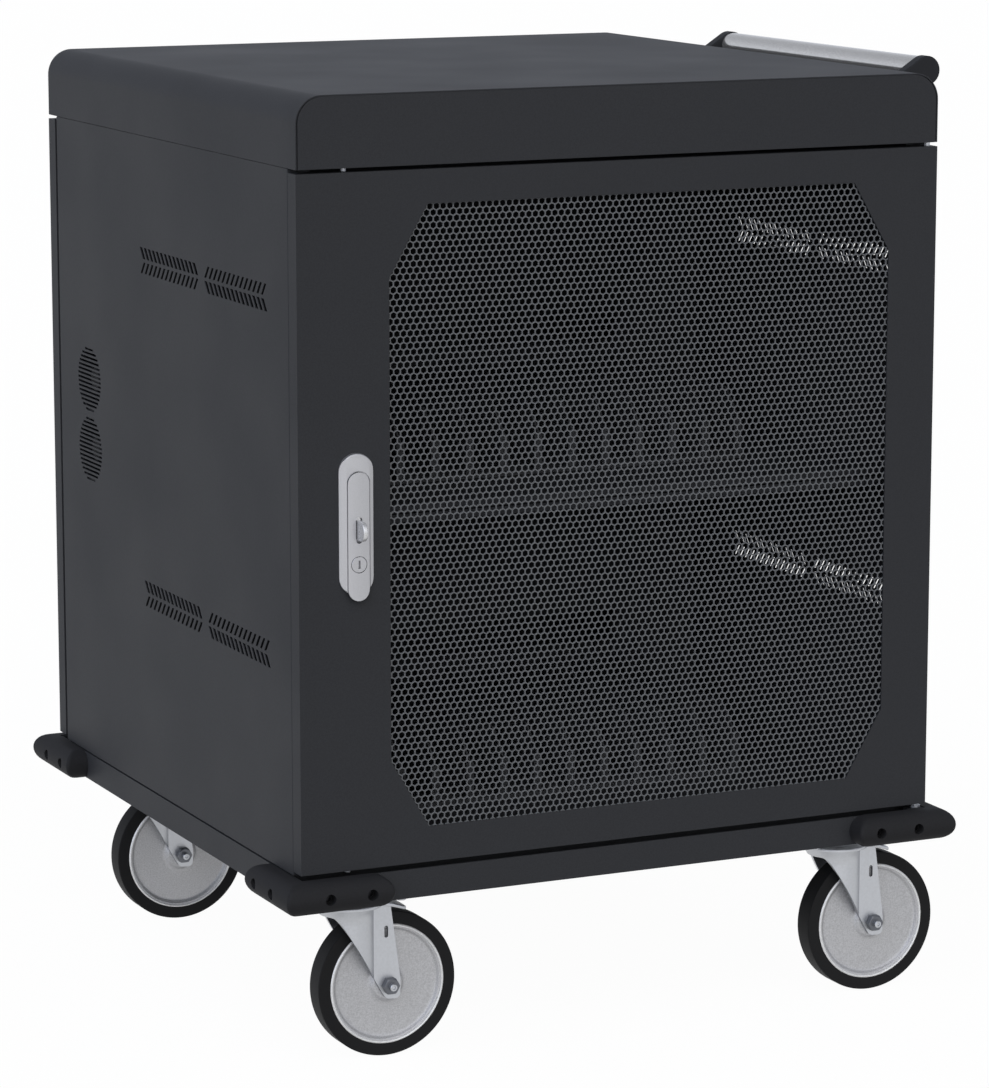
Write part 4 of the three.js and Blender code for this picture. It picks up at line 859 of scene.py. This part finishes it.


# The cast disc gives the eye a speckled silver, and its bead, a copy of the casting painted lighter as a
# highlight, a thin light ring inside the tyre; the tyre is the darkest black on the cart, and a nut is a
# small dark spot on the fork.
silver_casting = satin_metal("silver_wheel_casting", "#bfbfc1", 0.5, 1.2, 0.17, metallic=0.5)
bead_painted_highlight = satin_metal("wheel_bead_painted_highlight", "#ececec", 0.45, 1.1, 0.12, metallic=0.5)
tyre_rubber = moulded_plastic("tyre_rubber", "#1d1d1e", 0.62, 1.0, 0.08)
dark_zinc = satin_metal("dark_zinc_nut", "#66686d", 0.4, 0.8, 0.08)
for caster in ("caster_front_left", "caster_front_right", "caster_rear_left", "caster_rear_right"):
    roller = f"{caster}_roller"
    plate_low, plate_high = box_mm(f"{caster}_plate")
    swivel = Vector(((plate_low.x + plate_high.x) / 2, (plate_low.y + plate_high.y) / 2, 0))
    tyre_low, tyre_high = box_mm(f"{caster}_tyre")
    axle = Vector(((tyre_low.x + tyre_high.x) / 2, swivel.y, (tyre_low.z + tyre_high.z) / 2))
    crown_top = box_mm(f"{caster}_fork")[1].z + CROWN_RAISE

    plate_under = plate_high.z - PLATE_THICKNESS
    corners = [(plate_low.x, plate_low.y, plate_under), (plate_high.x, plate_low.y, plate_under),
               (plate_high.x, plate_high.y, plate_under), (plate_low.x, plate_high.y, plate_under)]
    plate = prism(corners, (0, 0, PLATE_THICKNESS), rounded=range(4), radius=PLATE_CORNER, steps=6)
    soften(plate, PLATE_ROUND, angle=FOLD_ANGLE)
    race = turned(RACE_SIDE, swivel + Vector((0, 0, plate_low.z)), (0, 0, 1), steps=64)
    bolts = [turned(BOLT_SIDE, swivel + Vector((x, y, plate_under - BOLT_DROP)), (0, 0, 1), steps=6)
             for x in (-BOLT_X, BOLT_X) for y in (-BOLT_Y, BOLT_Y)]
    mount = joined(plate, race, *bolts)
    add_piece(f"{caster}_mount", mount, zinc_plate, "cart", "zinc_steel", f"{caster}_plate")

    bend_radius = math.hypot(BEND, LEG_HALF)
    start = math.degrees(math.asin(LEG_HALF / bend_radius))
    inner_half = LEG_HALF - LEG_THICKNESS
    inner_radius = bend_radius - LEG_THICKNESS
    inner_start = math.degrees(math.asin(inner_half / inner_radius))
    path = [(LEG_TOE, LEG_HALF)] + arc(0, 0, bend_radius, start, 360 - start, 40)
    path += [(LEG_TOE, -LEG_HALF), (LEG_TOE, -inner_half)]
    path += arc(0, 0, inner_radius, 360 - inner_start, inner_start, 40) + [(LEG_TOE, inner_half)]
    leg_top = LEG_SIDE[0][1]
    wall = prism([(x, y, LEG_BOTTOM) for x, y in path], (0, 0, leg_top - LEG_BOTTOM))
    reach = LEG_HALF + LEG_CLEAR
    side = prism([(x, -reach, z) for x, z in LEG_SIDE], (0, 2 * reach, 0), rounded=(2, 4, 5),
                 radius=LEG_CORNER, steps=6)
    wall = carved(wall, side, "INTERSECT")
    wall = carved(wall, pill(*LEG_SLOT, -LEG_HALF - LEG_THICKNESS, LEG_HALF + LEG_THICKNESS))
    crown_low = crown_top - CROWN_THICKNESS
    lip = bend_radius + CROWN_LIP
    lip_half = LEG_HALF + CROWN_SIDE
    lip_start = math.degrees(math.asin(lip_half / lip))
    end_x, end_y = CROWN_REACH - CROWN_CORNER, lip_half - CROWN_CORNER
    outline = arc(end_x, end_y, CROWN_CORNER, 0, 90, 6) + arc(0, 0, lip, lip_start, 360 - lip_start, 40)
    outline += arc(end_x, -end_y, CROWN_CORNER, 270, 360, 6)
    crown = prism([(x, y, crown_low) for x, y in outline], (0, 0, CROWN_THICKNESS))
    soften(crown, CROWN_EDGE, angle=FOLD_ANGLE, steps=3)
    bmesh.ops.triangulate(crown, faces=crown.faces[:])
    long_edges = [edge for edge in crown.edges if edge.calc_length() > CROWN_FACET]
    bmesh.ops.subdivide_edges(crown, edges=long_edges, cuts=4)
    for vert in crown.verts:
        vert.co.z -= CROWN_DROOP * (max(0, vert.co.x - BEND) / (CROWN_REACH - BEND)) ** 2
    soften(wall, LEG_EDGE, angle=FOLD_ANGLE)
    for level in range(FLARE_START, int(crown_low) + FLARE_STEP, FLARE_STEP):
        bmesh.ops.bisect_plane(wall, geom=wall.verts[:] + wall.edges[:] + wall.faces[:],
                               plane_co=(0, 0, level), plane_no=(0, 0, 1))
    for vert in wall.verts:
        rise = max(0, vert.co.z - FLARE_START) / (crown_low - FLARE_START)
        share = min(1, max(0, (BEND - vert.co.x) / BEND))
        radial = Vector((vert.co.x, vert.co.y, 0)).normalized()
        vert.co += radial * (CROWN_LIP - FLARE_INSET) * share * min(1, rise) ** 2
    rivet = turned(RIVET_SIDE, (0, 0, crown_low - RIVET_DROP), (0, 0, 1), steps=32)
    fork = joined(wall, crown, rivet)
    bmesh.ops.translate(fork, verts=fork.verts[:], vec=swivel)
    add_piece(f"{caster}_bent_fork", fork, zinc_plate, caster, "zinc_steel", f"{caster}_fork")

    axle_low, axle_high = box_mm(f"{caster}_axle")
    nut_start = LEG_HALF + NUT_GAP
    nut_end = axle_high.y - axle.y
    front = axle_low.y - axle.y
    shank = turned([(radius, front + depth) for radius, depth in TIP_HOLLOW]
                   + [(AXLE_TIP - TIP_CHAMFER, front), (AXLE_TIP, front + TIP_CHAMFER),
                      (AXLE_TIP, AXLE_INSET - nut_end), (AXLE_RADIUS, AXLE_INSET - nut_end),
                      (AXLE_RADIUS, nut_end - AXLE_INSET), (0, nut_end - AXLE_INSET)],
                   axle, (0, 1, 0), steps=32)
    add_piece(f"{caster}_bolt", shank, zinc_plate, caster, "zinc_steel", f"{caster}_axle")
    nuts = [hexagon_nut(NUT_RADIUS, axle.y + way * nut_start, axle.y + way * nut_end, (axle.x, axle.z))
            for way in (-1, 1)]
    add_piece(f"{caster}_nuts", joined(*nuts), dark_zinc, caster, "zinc_steel", f"{caster}_axle")

    wheel = turned(mirrored(WHEEL_SIDE), axle, (0, 1, 0), steps=96)
    add_piece(f"{caster}_disc", wheel, silver_casting, roller, "wheel_plastic", f"{caster}_wheel")
    beads = joined(*(turned(BEAD_SIDE, axle, (0, way, 0), steps=96) for way in (-1, 1)))
    add_piece(f"{caster}_beads", beads, bead_painted_highlight, roller, "wheel_plastic")
    tyre = turned(mirrored(TYRE_SIDE), axle, (0, 1, 0), steps=128)
    add_piece(f"{caster}_tread", tyre, tyre_rubber, roller, "tyre_rubber", f"{caster}_tyre")


# Inside: folded steel roof, floor, shelf and partition, fixed into the cabinet. The shelf's front edge is
# turned up, so that nothing slides off it when the cart is pushed.
INNER_EDGE = 0.4
SHELF_SHEET, SHELF_STOP, SHELF_HEM, HEM_GAP = 1.5, 7.5, 8, 0.1
# The inner coat is the same charcoal as outside, painted darker as the shade inside the cabinet, and duller.
inner_coat_painted_shade = powder_coat("charcoal_coat_painted_shade", "#38393c", roughness=0.6)
for node, name in (("roof_panel", "roof_sheet"), ("cabinet_floor", "floor_sheet"),
                   ("rear_partition", "partition_sheet")):
    inner_sheet = soften(cad_copy(node), INNER_EDGE, angle=FOLD_ANGLE)
    add_piece(name, inner_sheet, inner_coat_painted_shade, "cart", "inner_paint", node)

low, high = box_mm("middle_shelf")
hem = block((low.x - CLEAR, low.y - CLEAR, low.z - CLEAR),
            (high.x + CLEAR, low.y + SHELF_SHEET + HEM_GAP, high.z - SHELF_HEM))
stop = block((low.x, low.y, high.z - SHELF_SHEET), (high.x, low.y + SHELF_SHEET, high.z + SHELF_STOP))
soften(stop, INNER_EDGE, angle=FOLD_ANGLE)
shelf = joined(carved(cad_copy("middle_shelf"), hem), stop)
add_piece("shelf_sheet", shelf, inner_coat_painted_shade, "cart", "inner_paint", "middle_shelf")


# Divider racks: moulded nylon fins on a base strip, screwed down on the shelf and on the floor. Each fin's
# front edge is thickened to a flat nose that keeps the laptops' corners off it.
RACK_FINS, RACK_PITCH, RACK_EDGE = 13, 33.3, 0.4
NOSE_WIDTH, NOSE_SET, NOSE_DEPTH, NOSE_TOP, NOSE_FOOT, NOSE_EDGE = 8, 0.1, 3, 25, 4, 0.8
# Grey nylon gives the eye upright stripes that just stand out from the dark behind them.
grey_nylon = moulded_plastic("moulded_grey_nylon", "#46474a", 0.55, 1.2)
for level in ("upper", "lower"):
    node = f"divider_rack_{level}"
    low, high = box_mm(node)
    rack = [soften(cad_copy(node), RACK_EDGE, angle=FOLD_ANGLE)]
    for fin in range(RACK_FINS):
        x = (low.x + high.x) / 2 + (fin - (RACK_FINS - 1) / 2) * RACK_PITCH
        nose = block((x - NOSE_WIDTH / 2, low.y + NOSE_SET, low.z + NOSE_FOOT),
                     (x + NOSE_WIDTH / 2, low.y + NOSE_DEPTH, high.z - NOSE_TOP))
        rack.append(soften(nose, NOSE_EDGE, angle=FOLD_ANGLE))
    add_piece(f"rack_{level}_fins", joined(*rack), grey_nylon, "cart", "black_plastic", node)


# Power strips: moulded housings with twelve sockets each, screwed to the back of the partition. Every socket
# has two contact slots and a round earth hole.
SOCKETS, SOCKET_PITCH, SOCKET_DEPTH = 12, 35, 8
CONTACT_WIDTH, CONTACT_HALF, CONTACT_PLACE = 2, 3.4, 6
EARTH_RADIUS, EARTH_DROP = 2.4, 8
STRIP_EDGE = 0.6
earth_side = [(0, -SOCKET_DEPTH), (EARTH_RADIUS, -SOCKET_DEPTH), (EARTH_RADIUS, CLEAR), (0, CLEAR)]
for level in ("upper", "lower"):
    node = f"power_strip_{level}"
    low, high = box_mm(node)
    strip = soften(cad_copy(node), STRIP_EDGE, angle=FOLD_ANGLE)
    middle_z = (low.z + high.z) / 2
    contact_back, contact_front = high.y - SOCKET_DEPTH, high.y + CLEAR
    contacts = []
    for socket in range(SOCKETS):
        x = (low.x + high.x) / 2 + (socket - (SOCKETS - 1) / 2) * SOCKET_PITCH
        for slot_x in (x - CONTACT_PLACE, x + CONTACT_PLACE):
            contacts.append(block((slot_x - CONTACT_WIDTH / 2, contact_back, middle_z - CONTACT_HALF),
                                  (slot_x + CONTACT_WIDTH / 2, contact_front, middle_z + CONTACT_HALF)))
        contacts.append(turned(earth_side, (x, high.y, middle_z - EARTH_DROP), (0, 1, 0), steps=16))
    strip = carved(strip, joined(*contacts))
    add_piece(f"strip_{level}_housing", strip, black_nylon, "cart", "black_plastic", node)


# Fans: a square moulded frame with four screw holes and three struts, screwed behind the left panel's
# grilles, and a five-bladed moulded rotor on the motor.
FAN_CORNER, FAN_EDGE, FAN_BORE, FAN_HOLE, FAN_HOLE_PLACE = 3, 0.5, 28, 2.2, 25
FAN_HUB, MOTOR_EDGE, HUB_EDGE = 12, 0.6, 1.5
FAN_STRUTS, FAN_STRUT, STRUT_SET, STRUT_REACH = 3, 3, 0.1, 0.4
FAN_BLADES, BLADE_THICKNESS, BLADE_TURN, BLADE_TIP = 5, 1.4, 0.6, 25.2
BLADE_INSET, BLADE_ROOT, BLADE_EDGE = 1, 1, 0.5
for level in ("upper", "lower"):
    low, high = box_mm(f"fan_frame_{level}")
    centre = (low + high) / 2
    corners = [(low.x, low.y, low.z), (low.x, high.y, low.z), (low.x, high.y, high.z), (low.x, low.y, high.z)]
    depth = high.x - low.x
    housing = prism(corners, (depth, 0, 0), rounded=range(4), radius=FAN_CORNER, steps=5)
    soften(housing, FAN_EDGE, angle=FOLD_ANGLE)
    bores = [(FAN_BORE, 0, 0, 64)]
    bores += [(FAN_HOLE, y, z, 20) for y in (-FAN_HOLE_PLACE, FAN_HOLE_PLACE)
              for z in (-FAN_HOLE_PLACE, FAN_HOLE_PLACE)]
    for radius, y, z, steps in bores:
        bore = turned([(0, -CLEAR), (radius, -CLEAR), (radius, depth + CLEAR), (0, depth + CLEAR)],
                      (low.x, centre.y + y, centre.z + z), (1, 0, 0), steps=steps)
        housing = carved(housing, bore)
    disc = turned([(0, -FAN_STRUT), (FAN_HUB, -FAN_STRUT), (FAN_HUB, -MOTOR_EDGE), (FAN_HUB - MOTOR_EDGE, 0),
                   (0, 0)], (high.x, centre.y, centre.z), (1, 0, 0))
    struts = []
    for turn in range(FAN_STRUTS):
        strut = block((high.x - FAN_STRUT, -FAN_STRUT / 2, 0),
                      (high.x - STRUT_SET, FAN_STRUT / 2, FAN_BORE + STRUT_REACH))
        bmesh.ops.transform(strut, verts=strut.verts[:], matrix=Matrix.Translation((0, centre.y, centre.z))
                            @ Matrix.Rotation(turn * math.tau / FAN_STRUTS, 4, "X"))
        struts.append(strut)
    add_piece(f"fan_{level}_housing", joined(housing, disc, *struts), black_nylon, "cart", "black_plastic",
              f"fan_frame_{level}")
    low, high = box_mm(f"fan_rotor_{level}")
    length = high.x - low.x
    hub = turned([(0, 0), (FAN_HUB - HUB_EDGE, 0), (FAN_HUB, HUB_EDGE), (FAN_HUB, length), (0, length)],
                 (low.x, centre.y, centre.z), (1, 0, 0))
    half = length / 2 - BLADE_INSET
    blades = []
    for turn in range(FAN_BLADES):
        blade = block((-half, -BLADE_THICKNESS / 2, FAN_HUB - BLADE_ROOT),
                      (half, BLADE_THICKNESS / 2, BLADE_TIP))
        soften(blade, BLADE_EDGE)
        bmesh.ops.transform(blade, verts=blade.verts[:],
                            matrix=Matrix.Translation(((low.x + high.x) / 2, centre.y, centre.z))
                            @ Matrix.Rotation(turn * math.tau / FAN_BLADES, 4, "X")
                            @ Matrix.Rotation(BLADE_TURN, 4, "Z"))
        blades.append(blade)
    add_piece(f"fan_{level}_blades", joined(hub, *blades), black_nylon, f"fan_rotor_{level}", "black_plastic",
              f"fan_rotor_{level}")


# Mains inlet: a moulded nylon appliance inlet with three pins, snapped into the right panel. Its flange hides
# the edges of the cut-out.
INLET_EDGE = 0.6
inlet = soften(cad_copy("power_inlet"), INLET_EDGE, angle=FOLD_ANGLE)
add_piece("inlet_housing", inlet, black_nylon, "cart", "black_plastic", "power_inlet")
